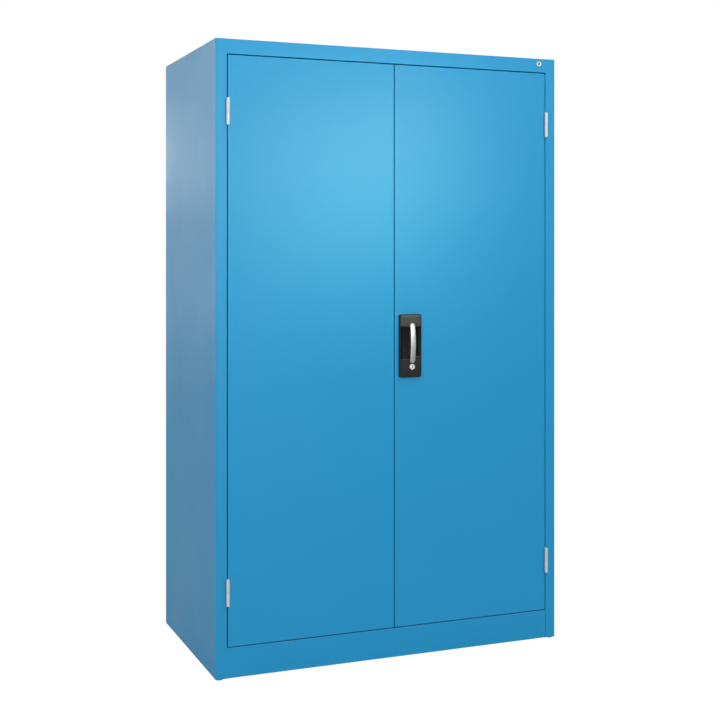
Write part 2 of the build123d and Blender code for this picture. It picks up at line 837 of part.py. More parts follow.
with BuildPart() as lock_plug:
    plug_face = bow_seat - barrel_flange_height - plug_proud
    with BuildSketch(facing_front(case_plate_face)):
        with Locations((lock_x, lock_z)):
            Circle(plug_radius)
    extrude(amount=case_plate_face - plug_face)
    with BuildSketch(facing_front(plug_face)):
        with Locations((lock_x, lock_z)):
            Rectangle(*key_slot)
    extrude(amount=-key_slot_depth, mode=Mode.SUBTRACT)
    with BuildSketch(facing_front(case_plate_face)):
        with Locations((lock_x, lock_z)):
            Rectangle(square_drive, square_drive)
    extrude(amount=case_plate_face - case_back)
    with BuildSketch(facing_front(case_back)):
        with Locations((lock_x, lock_z)):
            Circle(journal_radius)
    extrude(amount=-cover_thickness)
save(lock_plug, "lock_plug")

case_inner = case_size[0] / 2 - case_sheet
tab_middle = case_size[0] / 2 - case_sheet / 2

with BuildPart() as lock_case:
    folded_sheet(
        Plane.XY.offset(lock_z - case_size[1] / 2),
        [
            (lock_x + case_inner, case_back),
            (lock_x + case_inner, case_plate_face),
            (lock_x - case_inner, case_plate_face),
            (lock_x - case_inner, case_back),
        ],
        case_size[1],
        case_sheet,
        Kind.INTERSECTION,
    )
    with BuildSketch(facing_front(tub_back)):
        with Locations((lock_x, lock_z)):
            Circle(plug_radius + plug_running_gap)
        with Locations(*case_screw_spots):
            Circle(case_screw_radius)
    extrude(amount=-case_sheet, mode=Mode.SUBTRACT)
    # tabs that hold the cover
    with BuildSketch(facing_front(case_back)):
        with Locations((lock_x - tab_middle, lock_z), (lock_x + tab_middle, lock_z)):
            Rectangle(case_sheet, cover_tab)
    extrude(amount=-cover_thickness - cover_tab_stand)
save(lock_case, "lock_case")

with BuildPart() as lock_case_cover:
    with BuildSketch(facing_front(case_back)):
        with Locations((lock_x, lock_z)):
            Rectangle(*case_size)
            Circle(journal_radius + plug_running_gap, mode=Mode.SUBTRACT)
        with Locations((lock_x - tab_middle, lock_z), (lock_x + tab_middle, lock_z)):
            Rectangle(case_sheet, cover_tab, mode=Mode.SUBTRACT)
    extrude(amount=-cover_thickness)
save(lock_case_cover, "lock_case_cover")

screw_head_radius = 2.8
screw_head_height = 2.0

with BuildPart() as case_screws:
    with BuildSketch(facing_front(case_plate_face)):
        with Locations(*case_screw_spots):
            RegularPolygon(screw_head_radius, 6)
    extrude(amount=-screw_head_height)
    with BuildSketch(facing_front(case_plate_face)):
        with Locations(*case_screw_spots):
            Circle(case_screw_radius)
    extrude(amount=case_sheet + case_screw_grip)
save(case_screws, "case_screws")

# ---------------------------------------------------------------- pinion and racks
pressure_angle = radians(20.0)
addendum = 0.9 * gear_module
dedendum = 1.25 * gear_module
base_radius = pitch_radius * cos(pressure_angle)
tip_radius = pitch_radius + addendum
foot_radius = pitch_radius - dedendum
circular_pitch = pi * gear_module
pinion_tooth = circular_pitch / 2 - 0.24
rack_tooth = circular_pitch / 2 - 0.12
rod_throw = pitch_radius * pi / 2
tooth_root_sink = 0.2            # tooth outlines start this far inside the root, so that they merge


def involute_angle(radius):
    """Angle that the involute has turned through at a radius."""
    slope = acos(base_radius / radius)
    return tan(slope) - slope


def flank_point(radius, side):
    """Point on a tooth's involute flank, with the tooth pointing along +X."""
    half_angle = pinion_tooth / (2 * pitch_radius)
    angle = side * (half_angle + involute_angle(pitch_radius) - involute_angle(radius))
    return (radius * cos(angle), radius * sin(angle))


with BuildSketch() as pinion_tooth_face:
    with BuildLine():
        low, middle, high = [
            [flank_point(radius, side) for side in (-1, 1)]
            for radius in (base_radius, pitch_radius, tip_radius)
        ]
        Polyline(
            (foot_radius - tooth_root_sink, low[0][1]),
            low[0],
            middle[0],
            high[0],
            high[1],
            middle[1],
            low[1],
            (foot_radius - tooth_root_sink, low[1][1]),
            close=True,
        )
    make_face()

with BuildPart() as lock_pinion:
    with BuildSketch(facing_front(rod_y - rod_thickness / 2)):
        with Locations((lock_x, lock_z)):
            Circle(foot_radius)
            with PolarLocations(0, pinion_teeth):
                add(pinion_tooth_face.sketch)
            Rectangle(square_drive, square_drive, mode=Mode.SUBTRACT)
    extrude(amount=-rod_thickness)
save(lock_pinion, "lock_pinion")


def rack_rod(rod_x, toward_pinion, low_end, high_end, rack_shift, nose_up):
    """Flat rod with rack teeth on the edge that faces the pinion and a chamfered nose.

    rack_shift is how far the row of teeth is centred above the lock's axis.
    """
    root = rod_x + toward_pinion * rod_width / 2
    sunk_root = root - toward_pinion * tooth_root_sink
    tip = root + toward_pinion * (addendum + dedendum)
    root_half = rack_tooth / 2 + dedendum * tan(pressure_angle)
    tip_half = rack_tooth / 2 - addendum * tan(pressure_angle)
    first_tooth, last_tooth = [
        round((rack_shift + reach) / circular_pitch) for reach in (-rack_reach, rack_reach)
    ]
    with BuildPart() as rod:
        with BuildSketch(facing_front(rod_y - rod_thickness / 2)) as rod_face:
            with Locations((rod_x, (low_end + high_end) / 2)):
                Rectangle(rod_width, high_end - low_end)
            chamfer(rod_face.vertices().group_by(Axis.Y)[-1 if nose_up else 0], length=nose_chamfer)
            for tooth in range(first_tooth, last_tooth):
                middle = lock_z + (tooth + 0.5) * circular_pitch
                with BuildLine():
                    Polyline(
                        (sunk_root, middle - root_half),
                        (root, middle - root_half),
                        (tip, middle - tip_half),
                        (tip, middle + tip_half),
                        (root, middle + root_half),
                        (sunk_root, middle + root_half),
                        close=True,
                    )
                make_face()
        extrude(amount=-rod_thickness)
    return rod


rack_reach = 17.0                # half the length of the row of teeth
rack_overlap = 26.0              # rod past the lock's axis
nose_chamfer = 3.0
upper_rod_end = door_top - rod_rest_gap
lower_rod_end = door_bottom + rod_rest_gap
save(
    rack_rod(upper_rod_x, 1, lock_z - rack_overlap, upper_rod_end, -rod_throw / 2, True),
    "upper_lock_rod",
)
save(
    rack_rod(lower_rod_x, -1, lower_rod_end, lock_z + rack_overlap, rod_throw / 2, False),
    "lower_lock_rod",
)

# ---------------------------------------------------------------- rod guides
guide_size = (26.0, 18.0)
guide_depth = 18.6
guide_gap = 0.25
guide_bevel = 3.0


def rod_guides(rod_x, heights):
    """Moulded blocks on the door's face, each with a flat tunnel for a rod."""
    with BuildPart() as guides:
        with BuildSketch(facing_front(front + door_sheet)):
            with Locations(*[(rod_x, height) for height in heights]):
                Rectangle(*guide_size)
        extrude(amount=-guide_depth)
        chamfer(guides.faces().sort_by(Axis.Y)[-len(heights):].edges().filter_by(Axis.Z), length=guide_bevel)
        with BuildSketch(Plane.XY.offset(min(heights) - guide_size[1])):
            rod_slot(rod_x, rod_y, guide_gap)
        extrude(amount=max(heights) - min(heights) + 2 * guide_size[1], mode=Mode.SUBTRACT)
    return guides


save(rod_guides(upper_rod_x, (1400.0, 1840.0)), "upper_rod_guides")
save(rod_guides(lower_rod_x, (160.0, 560.0)), "lower_rod_guides")
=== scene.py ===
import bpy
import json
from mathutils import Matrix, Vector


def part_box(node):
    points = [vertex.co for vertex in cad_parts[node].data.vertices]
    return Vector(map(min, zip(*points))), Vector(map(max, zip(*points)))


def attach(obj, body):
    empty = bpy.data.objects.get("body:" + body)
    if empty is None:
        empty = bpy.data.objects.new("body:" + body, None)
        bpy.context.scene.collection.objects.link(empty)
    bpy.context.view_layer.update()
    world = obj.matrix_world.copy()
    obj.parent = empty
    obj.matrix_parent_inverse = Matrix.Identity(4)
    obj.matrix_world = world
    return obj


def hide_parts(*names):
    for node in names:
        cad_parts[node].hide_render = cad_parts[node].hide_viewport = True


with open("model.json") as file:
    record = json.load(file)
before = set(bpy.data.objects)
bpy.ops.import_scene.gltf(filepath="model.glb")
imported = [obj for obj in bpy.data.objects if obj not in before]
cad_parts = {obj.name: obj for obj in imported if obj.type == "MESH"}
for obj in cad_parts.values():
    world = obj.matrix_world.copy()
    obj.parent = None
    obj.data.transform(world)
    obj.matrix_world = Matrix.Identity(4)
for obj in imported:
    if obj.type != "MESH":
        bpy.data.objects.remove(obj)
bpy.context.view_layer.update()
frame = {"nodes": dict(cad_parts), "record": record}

# Finishes, fittings and stage for a two-door sheet-steel tool cabinet, built on its frame.
# Everything is in metres: seen from the front +X is to the right, +Y to the back and +Z up.
# Places come from the frame's nodes.
import json
import math

import bmesh
import bpy
import numpy as np
from bpy.props import FloatProperty, FloatVectorProperty, PointerProperty
from bpy.types import Operator, Panel, PropertyGroup
from mathutils import Vector

bl_info = {
    "name": "Two-Door Tool Cabinet",
    "version": (1, 0, 0),
    "blender": (4, 5, 0),
    "location": "3D View > Sidebar > Cabinet",
    "description": "Finishes, fittings and stage for a sheet-steel tool cabinet",
    "category": "Object",
}

MM = 0.001
MICRON = 0.001 * MM
RIGHT, BACK, UP = Vector((1, 0, 0)), Vector((0, 1, 0)), Vector((0, 0, 1))
SIDES = ("left", "right")
LEVELS = ("lower", "upper")

BODY_SHEET, DOOR_SHEET = 1.5 * MM, 1.2 * MM
BODY_SEAM = 0.3 * MM
POST_WIDTH, FASCIA_HEIGHT = 35.0 * MM, 46.0 * MM
KEY_SLOT_HALF_WIDTH, KEY_SLOT_HALF_HEIGHT, KEY_SLOT_DEPTH = 1.15 * MM, 4.5 * MM, 9.0 * MM

# points nearer than the first are one point, and edges shorter than the second are dissolved
MERGE_DISTANCE, SHORTEST_EDGE = 1e-6, 1e-7
SHARP_ANGLE, BEVEL_ANGLE = math.radians(34), math.radians(32)
BEVEL_SEGMENTS = 3

# finishes and shared shader effects by name, both filled by the first operator
finishes = {}
effects = {}


# ---------------------------------------------------------------- sizes and colours


def colour(name, description, default):
    """A linear colour that the sidebar shows as a swatch."""
    return FloatVectorProperty(
        name=name, description=description, default=default, size=3, min=0, max=1, subtype="COLOR"
    )


def length(name, description, default):
    """A length in metres, given here in millimetres."""
    return FloatProperty(
        name=name, description=description, default=default * MM, min=0, unit="LENGTH", precision=4
    )


def brightness(name, description, default):
    """A level between black and white."""
    return FloatProperty(
        name=name, description=description, default=default, min=0, max=1, subtype="FACTOR"
    )


class CabinetColours(PropertyGroup):
    paint: colour("Cabinet paint", "Coat of body and doors, and the glides", (0.003, 0.273, 0.543))
    shelves: colour("Shelf coat", "Powder coat of shelves and uprights", (0.50, 0.51, 0.51))
    hinges: colour("Hinge steel", "Matt zinc-plated hinges", (0.68, 0.67, 0.665))
    zinc: colour("Zinc plating", "Rods, bolts, clips, screws and lock case", (0.60, 0.61, 0.62))
    plastic: colour("Housing plastic", "Handle housing and rod guides", (0.008, 0.0085, 0.0095))
    # a lighter black than the housing's: on the crowned pillow it is painted sheen on the upper
    # block, on the recess lips painted highlight lines
    pad: colour("Housing pad", "Crowned pad and recess lips of the housing", (0.046, 0.047, 0.053))
    bow: colour("Bow metal", "Satin silver of the pull", (0.77, 0.77, 0.77))
    chrome: colour("Bright metal", "Lock and cap ring", (0.93, 0.925, 0.92))
    cap_centre: colour("Cap centre", "Dull insert in the fascia's round cap", (0.30, 0.17, 0.12))
    # real rubber on the buffers; in the key slot the same dark is painted shade
    rubber_and_keyway_shade: colour("Rubber", "Door buffers and the inside of the key slot", (0.018, 0.018, 0.018))
    brass: colour("Brass", "Hinge washers", (0.62, 0.45, 0.18))
    # a dark blue that paints the shade of the gap at the plinth's right end
    seam: colour("Seam", "Mastic at the plinth's right end", (0.002, 0.045, 0.110))


class CabinetSizes(PropertyGroup):
    knuckle_edge: length("Knuckle edge", "Rounding of the hinge knuckles' ends", 1.6)
    leaf_edge: length("Leaf edge", "Rounding of the hinge leaves' edges", 0.35)
    housing_edge: length("Housing edge", "Rounding of the moulded housing's edges", 0.7)
    pad_crown: length("Pad crown", "How far the pad on the housing's upper block bulges", 0.9)
    bow_end: length("Bow end", "Rounding of the bow's two ends towards the housing", 4.0)
    flange_edge: length("Lock edge", "Rounding of the lock's ring", 0.5)
    bar_edge: length("Bar edge", "Rounding of the slide bolts and their brackets", 0.4)
    rivet: length("Rivet head", "Radius of the rivet heads on the bolt brackets", 3.2)
    screw: length("Screw head", "Radius of the pan-head screws on the rod guides", 2.1)
    weld: length("Spot weld", "Radius of the spot-weld marks on the door stiffeners", 2.8)
    weld_pitch: length("Spot weld pitch", "Distance between two spot-weld marks", 120.0)


class CabinetStage(PropertyGroup):
    camera_place: FloatVectorProperty(
        name="Camera", description="Where the camera stands",
        default=(-1.627, -4.0455, 1.298), subtype="TRANSLATION", unit="LENGTH",
    )
    camera_yaw: FloatProperty(
        name="Yaw", description="How far the camera looks to the right of +Y",
        default=math.radians(22.0), subtype="ANGLE",
    )
    lens: FloatProperty(
        name="Lens", description="Focal length on a 36 mm sensor", default=63.53, unit="CAMERA"
    )
    rise: FloatProperty(
        name="Shift", description="Vertical shift of the level camera", default=-0.1488
    )
    lamp_level: FloatProperty(
        name="Lamp level", description="Multiplies the power of every lamp",
        default=1.0, min=0, subtype="FACTOR",
    )
    surround: brightness("Surround", "Level at which the surroundings light the cabinet", 0.44)
    surround_gloss: brightness(
        "Surround in gloss", "Level at which glossy surfaces mirror the surroundings", 0.22
    )
    floor_gloss_front: brightness(
        "Front floor in gloss", "Level at which glossy surfaces mirror the floor in front", 0.22
    )
    floor_gloss_back: brightness(
        "Rear floor in gloss", "Level at which glossy surfaces mirror the floor behind", 0.56
    )


# ---------------------------------------------------------------- surfaces


def full_turn(columns):
    """Equal angles once round, the last one short of the first."""
    return np.linspace(0, 2 * math.pi, columns, endpoint=False)


def quarter_turn(steps):
    """Equal angles from 0 to a right angle."""
    return np.linspace(0, math.pi / 2, steps)


def superellipse(columns, exponent):
    """Outline of half widths 1: cosine and sine to the power 2 over the exponent, signs kept."""
    across_and_up = np.stack([np.cos(full_turn(columns)), np.sin(full_turn(columns))])
    return np.sign(across_and_up) * np.abs(across_and_up) ** (2 / exponent)


def rounded(corners, radius, steps=5):
    """Outline whose inner corners are rounded off.

    A curve touches both runs of its corner where an arc of the radius would, and in between it is
    the quadratic one that the corner pulls: (1 - t)^2 times the first point, 2 t (1 - t) times the
    corner and t^2 times the last. It is close to the arc. It never takes up half of a run.
    """
    longest_share = 0.49
    corners = np.array(corners, float)
    outline = [corners[:1]]
    for before, corner, after in zip(corners[:-2], corners[1:-1], corners[2:]):
        to_before, to_after = before - corner, after - corner
        runs = np.linalg.norm(to_before), np.linalg.norm(to_after)
        a, b = to_before / runs[0], to_after / runs[1]
        half_turn = math.acos(np.clip(-a @ b, -1, 1)) / 2
        reach = min(radius * math.tan(half_turn), longest_share * min(runs))
        turn = np.linspace(0, 1, steps)[:, None]
        outline.append(
            (1 - turn) ** 2 * (corner + a * reach) + 2 * turn * (1 - turn) * corner
            + turn**2 * (corner + b * reach)
        )
    outline.append(corners[-1:])
    return np.concatenate(outline)


def disc_profile(radius, height, edge):
    """Profile of a plain disc whose two rims are rounded."""
    return rounded([(0, 0), (radius, 0), (radius, height), (0, height)], edge)


def turned(profile, foot, direction, columns=40):
    """Surface of revolution: foot + height along the axis + radius round it.

    It has a row for each (radius, height) of the profile and a column for each angle.
    """
    profile = np.array(profile, float)
    axis = Vector(direction).normalized()
    across = axis.orthogonal().normalized()
    along = np.array(axis.cross(across))
    angle = full_turn(columns)[:, None]
    ring = np.cos(angle) * np.array(across) + np.sin(angle) * along
    radius, height = profile[:, 0, None, None], profile[:, 1, None, None]
    return np.array(foot) + height * np.array(axis) + radius * ring


def slab(low, high, radius, steps=3):
    """Box with rounded edges.

    Each point is a corner of the box shrunken by the radius, plus the radius times a direction on
    the unit sphere's eighth that faces out there. Both ends close to their middle.
    """
    low, high = np.array(low, float), np.array(high, float)
    centre, half = (low + high) / 2, (high - low) / 2
    turn = quarter_turn(steps + 1)
    angle = np.concatenate([turn + quadrant * math.pi / 2 for quadrant in range(4)])
    rise = np.concatenate([turn - math.pi / 2, turn])[:, None]
    across, along = np.cos(rise) * np.cos(angle), np.cos(rise) * np.sin(angle)
    direction = np.stack(np.broadcast_arrays(across, along, np.sin(rise)), -1)
    sign_x = np.repeat([1, -1, -1, 1], steps + 1)
    sign_y = np.repeat([1, 1, -1, -1], steps + 1)
    sign_z = np.repeat([-1, 1], steps + 1)[:, None]
    corner = np.stack(np.broadcast_arrays(sign_x, sign_y, sign_z), -1) * (half - radius)
    body = centre + corner + radius * direction
    caps = centre + np.array([[[0, 0, -half[2]]], [[0, 0, half[2]]]]) * np.ones((1, len(angle), 1))
    return np.concatenate([caps[:1], body, caps[1:]])


def prism(outline, low, high):
    """Outline carried straight from low to high, as its last coordinate, closed to its middle."""
    outline = np.array(outline, float)
    middle = outline.mean(axis=0, keepdims=True) + 0 * outline
    rows = ((low, middle), (low, outline), (high, outline), (high, middle))
    return np.stack([np.column_stack([edge, np.full(len(edge), level)]) for level, edge in rows])


def piece(name, grids, finish, body, replaces=()):
    """One object from closed grids of points, each an array of rows, columns and 3 coordinates.

    Its faces join each point to its neighbours in the next column, round to the first one, and in
    the next row.
    """
    points, faces, start = [], [], 0
    for grid in grids:
        rows, columns = grid.shape[:2]
        index = start + np.arange(rows * columns).reshape(rows, columns)
        beside = np.roll(index, -1, axis=1)
        faces.append(np.stack([index[:-1], beside[:-1], beside[1:], index[1:]], -1).reshape(-1, 4))
        points.append(grid.reshape(-1, 3))
        start += rows * columns
    mesh = bpy.data.meshes.new(name)
    mesh.from_pydata(np.concatenate(points), [], np.concatenate(faces).tolist())
    finish_piece(name, mesh, finish, body, replaces)


def softened(name, node_name, width, finish, body):
    """Merged copy of a frame node whose edges are rounded, standing for that node."""
    mesh = frame["nodes"][node_name].data.copy()
    mesh.materials.clear()
    obj = finish_piece(name, mesh, finish, body, (node_name,), merge_only=True)
    bevel = obj.modifiers.new("Rounded edges", "BEVEL")
    bevel.width = width
    bevel.segments = BEVEL_SEGMENTS
    bevel.limit_method = "ANGLE"
    bevel.angle_limit = BEVEL_ANGLE


def finish_piece(name, mesh, finish, body, replaces, merge_only=False):
    """Merges a mesh's doubles, shades it smooth up to its sharp edges, hangs it on its body and
    hides the nodes that it stands for.

    Faces are turned outwards too, except on a copy of a frame node, whose faces point so already.
    Returns the piece's object.
    """
    shape = bmesh.new()
    shape.from_mesh(mesh)
    bmesh.ops.remove_doubles(shape, verts=shape.verts, dist=MERGE_DISTANCE)
    bmesh.ops.dissolve_degenerate(shape, edges=shape.edges, dist=SHORTEST_EDGE)
    if not merge_only:
        bmesh.ops.recalc_face_normals(shape, faces=shape.faces)
    shape.to_mesh(mesh)
    shape.free()
    mesh.shade_smooth()
    mesh.set_sharp_from_angle(angle=SHARP_ANGLE)
    mesh.materials.append(finishes[finish])
    obj = bpy.data.objects.new(name, mesh)
    bpy.context.scene.collection.objects.link(obj)
    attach(obj, body)
    if replaces:
        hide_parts(*replaces)
    return obj


# ---------------------------------------------------------------- shared shader effects


def new_group(name, inputs, outputs):
    """Empty shader node group with named sockets; returns its tree and its two end nodes.

    An input is its name, its kind and its default, and an output is its name and its kind.
    """
    tree = bpy.data.node_groups.new(name, "ShaderNodeTree")
    kinds = {"float": "NodeSocketFloat", "vector": "NodeSocketVector", "color": "NodeSocketColor"}
    for socket_name, kind, default in inputs:
        socket = tree.interface.new_socket(socket_name, in_out="INPUT", socket_type=kinds[kind])
        if default is not None:
            socket.default_value = default
    for socket_name, kind in outputs:
        tree.interface.new_socket(socket_name, in_out="OUTPUT", socket_type=kinds[kind])
    return tree, tree.nodes.new("NodeGroupInput"), tree.nodes.new("NodeGroupOutput")


def shader_node(tree, kind, inputs=(), **settings):
    """Adds a node; each input named is linked to another node's output or set to a plain value."""
    made = tree.nodes.new(kind)
    for key, value in settings.items():
        setattr(made, key, value)
    for key, value in dict(inputs).items():
        if isinstance(value, bpy.types.NodeSocket):
            tree.links.new(value, made.inputs[key])
        else:
            made.inputs[key].default_value = value
    return made


def maths(tree, operation, *operands):
    """Result of a Math node on its operands, each a number or another node's output."""
    return shader_node(
        tree, "ShaderNodeMath", dict(enumerate(operands)), operation=operation
    ).outputs["Value"]


def place_on_object(tree):
    """The Object coordinate, in metres from the cabinet's origin."""
    return tree.nodes.new("ShaderNodeTexCoord").outputs["Object"]


def noise(tree, place, scale, *, detail, roughness):
    """Value from 0 to 1 of a noise with so many cells to a metre."""
    return shader_node(
        tree, "ShaderNodeTexNoise",
        {"Vector": place, "Scale": scale, "Detail": detail, "Roughness": roughness},
    ).outputs["Fac"]


def make_peel():
    """Powder coat's orange peel: two sizes of noise added, as a height."""
    tree, inward, outward = new_group(
        "powder_peel", [("Scale", "float", 600.0)], [("Height", "float")]
    )
    finer, fine_share = 3.1, 0.35
    place, scale = place_on_object(tree), inward.outputs["Scale"]
    coarse = noise(tree, place, scale, detail=1.0, roughness=0.4)
    fine_scale = maths(tree, "MULTIPLY", scale, finer)
    fine = noise(tree, place, fine_scale, detail=2.0, roughness=0.5)
    height = maths(tree, "MULTIPLY_ADD", fine, fine_share, coarse)
    tree.links.new(height, outward.inputs["Height"])
    return tree


def make_drift():
    """Slow drift of tone over a large face: a broad noise lightens and darkens the colour.

    The colour's value is multiplied by one plus the amount times the noise's distance from a half.
    """
    tree, inward, outward = new_group(
        "tone_drift",
        [("Color", "color", None), ("Amount", "float", 0.05), ("Scale", "float", 1.6)],
        [("Color", "color"), ("Cloud", "float")],
    )
    place, scale = place_on_object(tree), inward.outputs["Scale"]
    cloud = noise(tree, place, scale, detail=3.0, roughness=0.55)
    swing = maths(tree, "MULTIPLY", maths(tree, "SUBTRACT", cloud, 0.5), inward.outputs["Amount"])
    toned = shader_node(
        tree, "ShaderNodeHueSaturation",
        {"Color": inward.outputs["Color"], "Value": maths(tree, "ADD", swing, 1.0)},
    )
    tree.links.new(toned.outputs["Color"], outward.inputs["Color"])
    tree.links.new(cloud, outward.inputs["Cloud"])
    return tree


def make_dust():
    """Settled dust: a mask on faces that look up, broken by noise."""
    tree, inward, outward = new_group(
        "settled_dust", [("Amount", "float", 0.3)], [("Mask", "float")]
    )
    facing = tree.nodes.new("ShaderNodeNewGeometry").outputs["Normal"]
    parts = shader_node(tree, "ShaderNodeSeparateXYZ", {0: facing})
    upward = shader_node(
        tree, "ShaderNodeMapRange",
        {"Value": parts.outputs["Z"], "From Min": 0.6, "From Max": 1.0}, clamp=True,
    )
    specks = noise(tree, place_on_object(tree), 9.0, detail=6.0, roughness=0.7)
    broken = maths(tree, "MULTIPLY", upward.outputs[0], specks)
    mask = maths(tree, "MULTIPLY", broken, inward.outputs["Amount"])
    tree.links.new(mask, outward.inputs["Mask"])
    return tree


def make_brushing():
    """Fine parallel lines: noise squeezed along the chosen stretch, as a height and a streak."""
    tree, inward, outward = new_group(
        "brushed_lines",
        [("Stretch", "vector", (1.0, 1.0, 1.0))],
        [("Height", "float"), ("Streak", "float")],
    )
    stretched = shader_node(
        tree, "ShaderNodeMapping",
        {"Vector": place_on_object(tree), "Scale": inward.outputs["Stretch"]},
    )
    lines = noise(tree, stretched.outputs[0], 1.0, detail=4.0, roughness=0.6)
    for name in ("Height", "Streak"):
        tree.links.new(lines, outward.inputs[name])
    return tree


def make_grain():
    """Moulded plastic's spark-eroded grain: small cells with soft edges, as a height."""
    tree, inward, outward = new_group(
        "mould_grain", [("Scale", "float", 1500.0)], [("Height", "float")]
    )
    cells = shader_node(
        tree, "ShaderNodeTexVoronoi",
        {"Vector": place_on_object(tree), "Scale": inward.outputs["Scale"], "Smoothness": 0.6},
        feature="SMOOTH_F1",
    )
    tree.links.new(cells.outputs["Distance"], outward.inputs["Height"])
    return tree


EFFECTS = {
    "peel": make_peel,
    "drift": make_drift,
    "dust": make_dust,
    "brushing": make_brushing,
    "grain": make_grain,
}


def effect(tree, name, **values):
    """Places a shared effect in a material, with its own values."""
    made = tree.nodes.new("ShaderNodeGroup")
    made.node_tree = effects[name]
    for key, value in values.items():
        made.inputs[key].default_value = value
    return made


# ---------------------------------------------------------------- materials


def new_material(name, metallic=0.0):
    """Material with a Principled shader; returns the material, its tree and the shader."""
    material = bpy.data.materials.new(name)
    material.use_nodes = True
    shader = material.node_tree.nodes["Principled BSDF"]
    shader.inputs["Metallic"].default_value = metallic
    return material, material.node_tree, shader


def bump(tree, shader, height, depth):
    """Feeds a height into the shader's normal; depth is in metres."""
    relief = {"Height": height, "Strength": 1.0, "Distance": depth}
    made = shader_node(tree, "ShaderNodeBump", relief)
    tree.links.new(made.outputs["Normal"], shader.inputs["Normal"])


def vary_roughness(tree, shader, mask, rough):
    """Roughness that goes from its low to its high value as the mask goes from 0.3 to 0.7."""
    low, high = rough
    roughness = shader_node(
        tree, "ShaderNodeMapRange",
        {"Value": mask, "From Min": 0.3, "From Max": 0.7, "To Min": low, "To Max": high},
        clamp=True,
    )
    tree.links.new(roughness.outputs[0], shader.inputs["Roughness"])


def powder_coat(name, base, peel_scale, peel_depth, rough, drift_amount, dust_amount):
    """Powder coat on sheet steel: drifting tone, fine peel and a little dust on top faces."""
    material, tree, shader = new_material(name)
    dust_grey = (0.42, 0.41, 0.39, 1)
    drift = effect(tree, "drift", Color=(*base, 1), Amount=drift_amount, Scale=1.7)
    dust = effect(tree, "dust", Amount=dust_amount)
    dusty = shader_node(
        tree, "ShaderNodeMix",
        {"Factor": dust.outputs["Mask"], "A": drift.outputs["Color"], "B": dust_grey},
        data_type="RGBA",
    )
    tree.links.new(dusty.outputs["Result"], shader.inputs["Base Color"])
    handled = noise(tree, place_on_object(tree), 5.0, detail=5.0, roughness=0.6)
    vary_roughness(tree, shader, handled, rough)
    peel = effect(tree, "peel", Scale=peel_scale)
    bump(tree, shader, peel.outputs["Height"], peel_depth)
    return material


def plated_steel(name, base, stretch, line_depth, rough, tone, metallic=1.0):
    """Plated or polished metal: faint lines along one direction and a cloudy tone."""
    material, tree, shader = new_material(name, metallic)
    drift = effect(tree, "drift", Color=(*base, 1), Amount=tone, Scale=60.0)
    tree.links.new(drift.outputs["Color"], shader.inputs["Base Color"])
    lines = effect(tree, "brushing", Stretch=stretch)
    vary_roughness(tree, shader, lines.outputs["Streak"], rough)
    bump(tree, shader, lines.outputs["Height"], line_depth)
    return material


def moulded_plastic(name, base, grain_scale, grain_depth, rough):
    """Moulded plastic or rubber: fine grain, slight sheen differences from handling."""
    material, tree, shader = new_material(name)
    drift = effect(tree, "drift", Color=(*base, 1), Amount=0.25, Scale=40.0)
    tree.links.new(drift.outputs["Color"], shader.inputs["Base Color"])
    vary_roughness(tree, shader, drift.outputs["Cloud"], rough)
    grain = effect(tree, "grain", Scale=grain_scale)
    bump(tree, shader, grain.outputs["Height"], grain_depth)
    return material


def make_materials(colours):
    """Every finish by name, most of them named by the material slot that they serve."""
    effects.update({name: make() for name, make in EFFECTS.items()})
    return {
        "cabinet_paint": powder_coat(
            "light_blue_powder_coat", colours.paint, peel_scale=620.0, peel_depth=14 * MICRON,
            rough=(0.40, 0.46), drift_amount=0.05, dust_amount=0.25,
        ),
        "shelf_coat": powder_coat(
            "grey_powder_coat", colours.shelves, peel_scale=800.0, peel_depth=16 * MICRON,
            rough=(0.42, 0.52), drift_amount=0.08, dust_amount=0.3,
        ),
        "hinge_steel": plated_steel(
            "matt_hinge_steel", colours.hinges, stretch=(400.0, 400.0, 2600.0),
            line_depth=4 * MICRON, rough=(0.46, 0.56), tone=0.10, metallic=0.3,
        ),
        "zinc_steel": plated_steel(
            "zinc_plating", colours.zinc, stretch=(700.0, 700.0, 60.0),
            line_depth=5 * MICRON, rough=(0.30, 0.48), tone=0.25,
        ),
        "bow_metal": plated_steel(
            "satin_silver", colours.bow, stretch=(1500.0, 1500.0, 60.0),
            line_depth=3 * MICRON, rough=(0.47, 0.55), tone=0.06,
        ),
        "bright_chrome": plated_steel(
            "bright_nickel", colours.chrome, stretch=(900.0, 900.0, 900.0),
            line_depth=1 * MICRON, rough=(0.36, 0.44), tone=0.06, metallic=0.7,
        ),
        "brass": plated_steel(
            "washer_brass", colours.brass, stretch=(900.0, 900.0, 900.0),
            line_depth=2 * MICRON, rough=(0.3, 0.4), tone=0.15,
        ),
        "housing_plastic": moulded_plastic(
            "grained_black_plastic", colours.plastic, 1400.0, 14 * MICRON, rough=(0.38, 0.50)
        ),
        # painted sheen and painted highlights: the lighter black of the crowned pillow and the
        # recess lips
        "housing_sheen": moulded_plastic(
            "black_plastic_painted_sheen", colours.pad, 1400.0, 8 * MICRON, rough=(0.34, 0.42)
        ),
        "pad_plastic": moulded_plastic(
            "blue_glide_plastic", colours.paint, 1100.0, 18 * MICRON, rough=(0.45, 0.6)
        ),
        "buffer_rubber": moulded_plastic(
            "buffer_rubber", colours.rubber_and_keyway_shade, 1800.0, 16 * MICRON, rough=(0.6, 0.75)
        ),
        "cap_centre": moulded_plastic(
            "cap_centre", colours.cap_centre, 1600.0, 14 * MICRON, rough=(0.4, 0.5)
        ),
        # painted shade in the gap at the plinth's right end
        "painted_seam_shade": moulded_plastic(
            "painted_seam_shade", colours.seam, 900.0, 8 * MICRON, rough=(0.5, 0.6)
        ),
        # painted shade inside the key slot
        "keyway_shade": moulded_plastic(
            "keyway_shadow", colours.rubber_and_keyway_shade, 900.0, 8 * MICRON, rough=(0.5, 0.6)
        ),
    }


# ---------------------------------------------------------------- operators


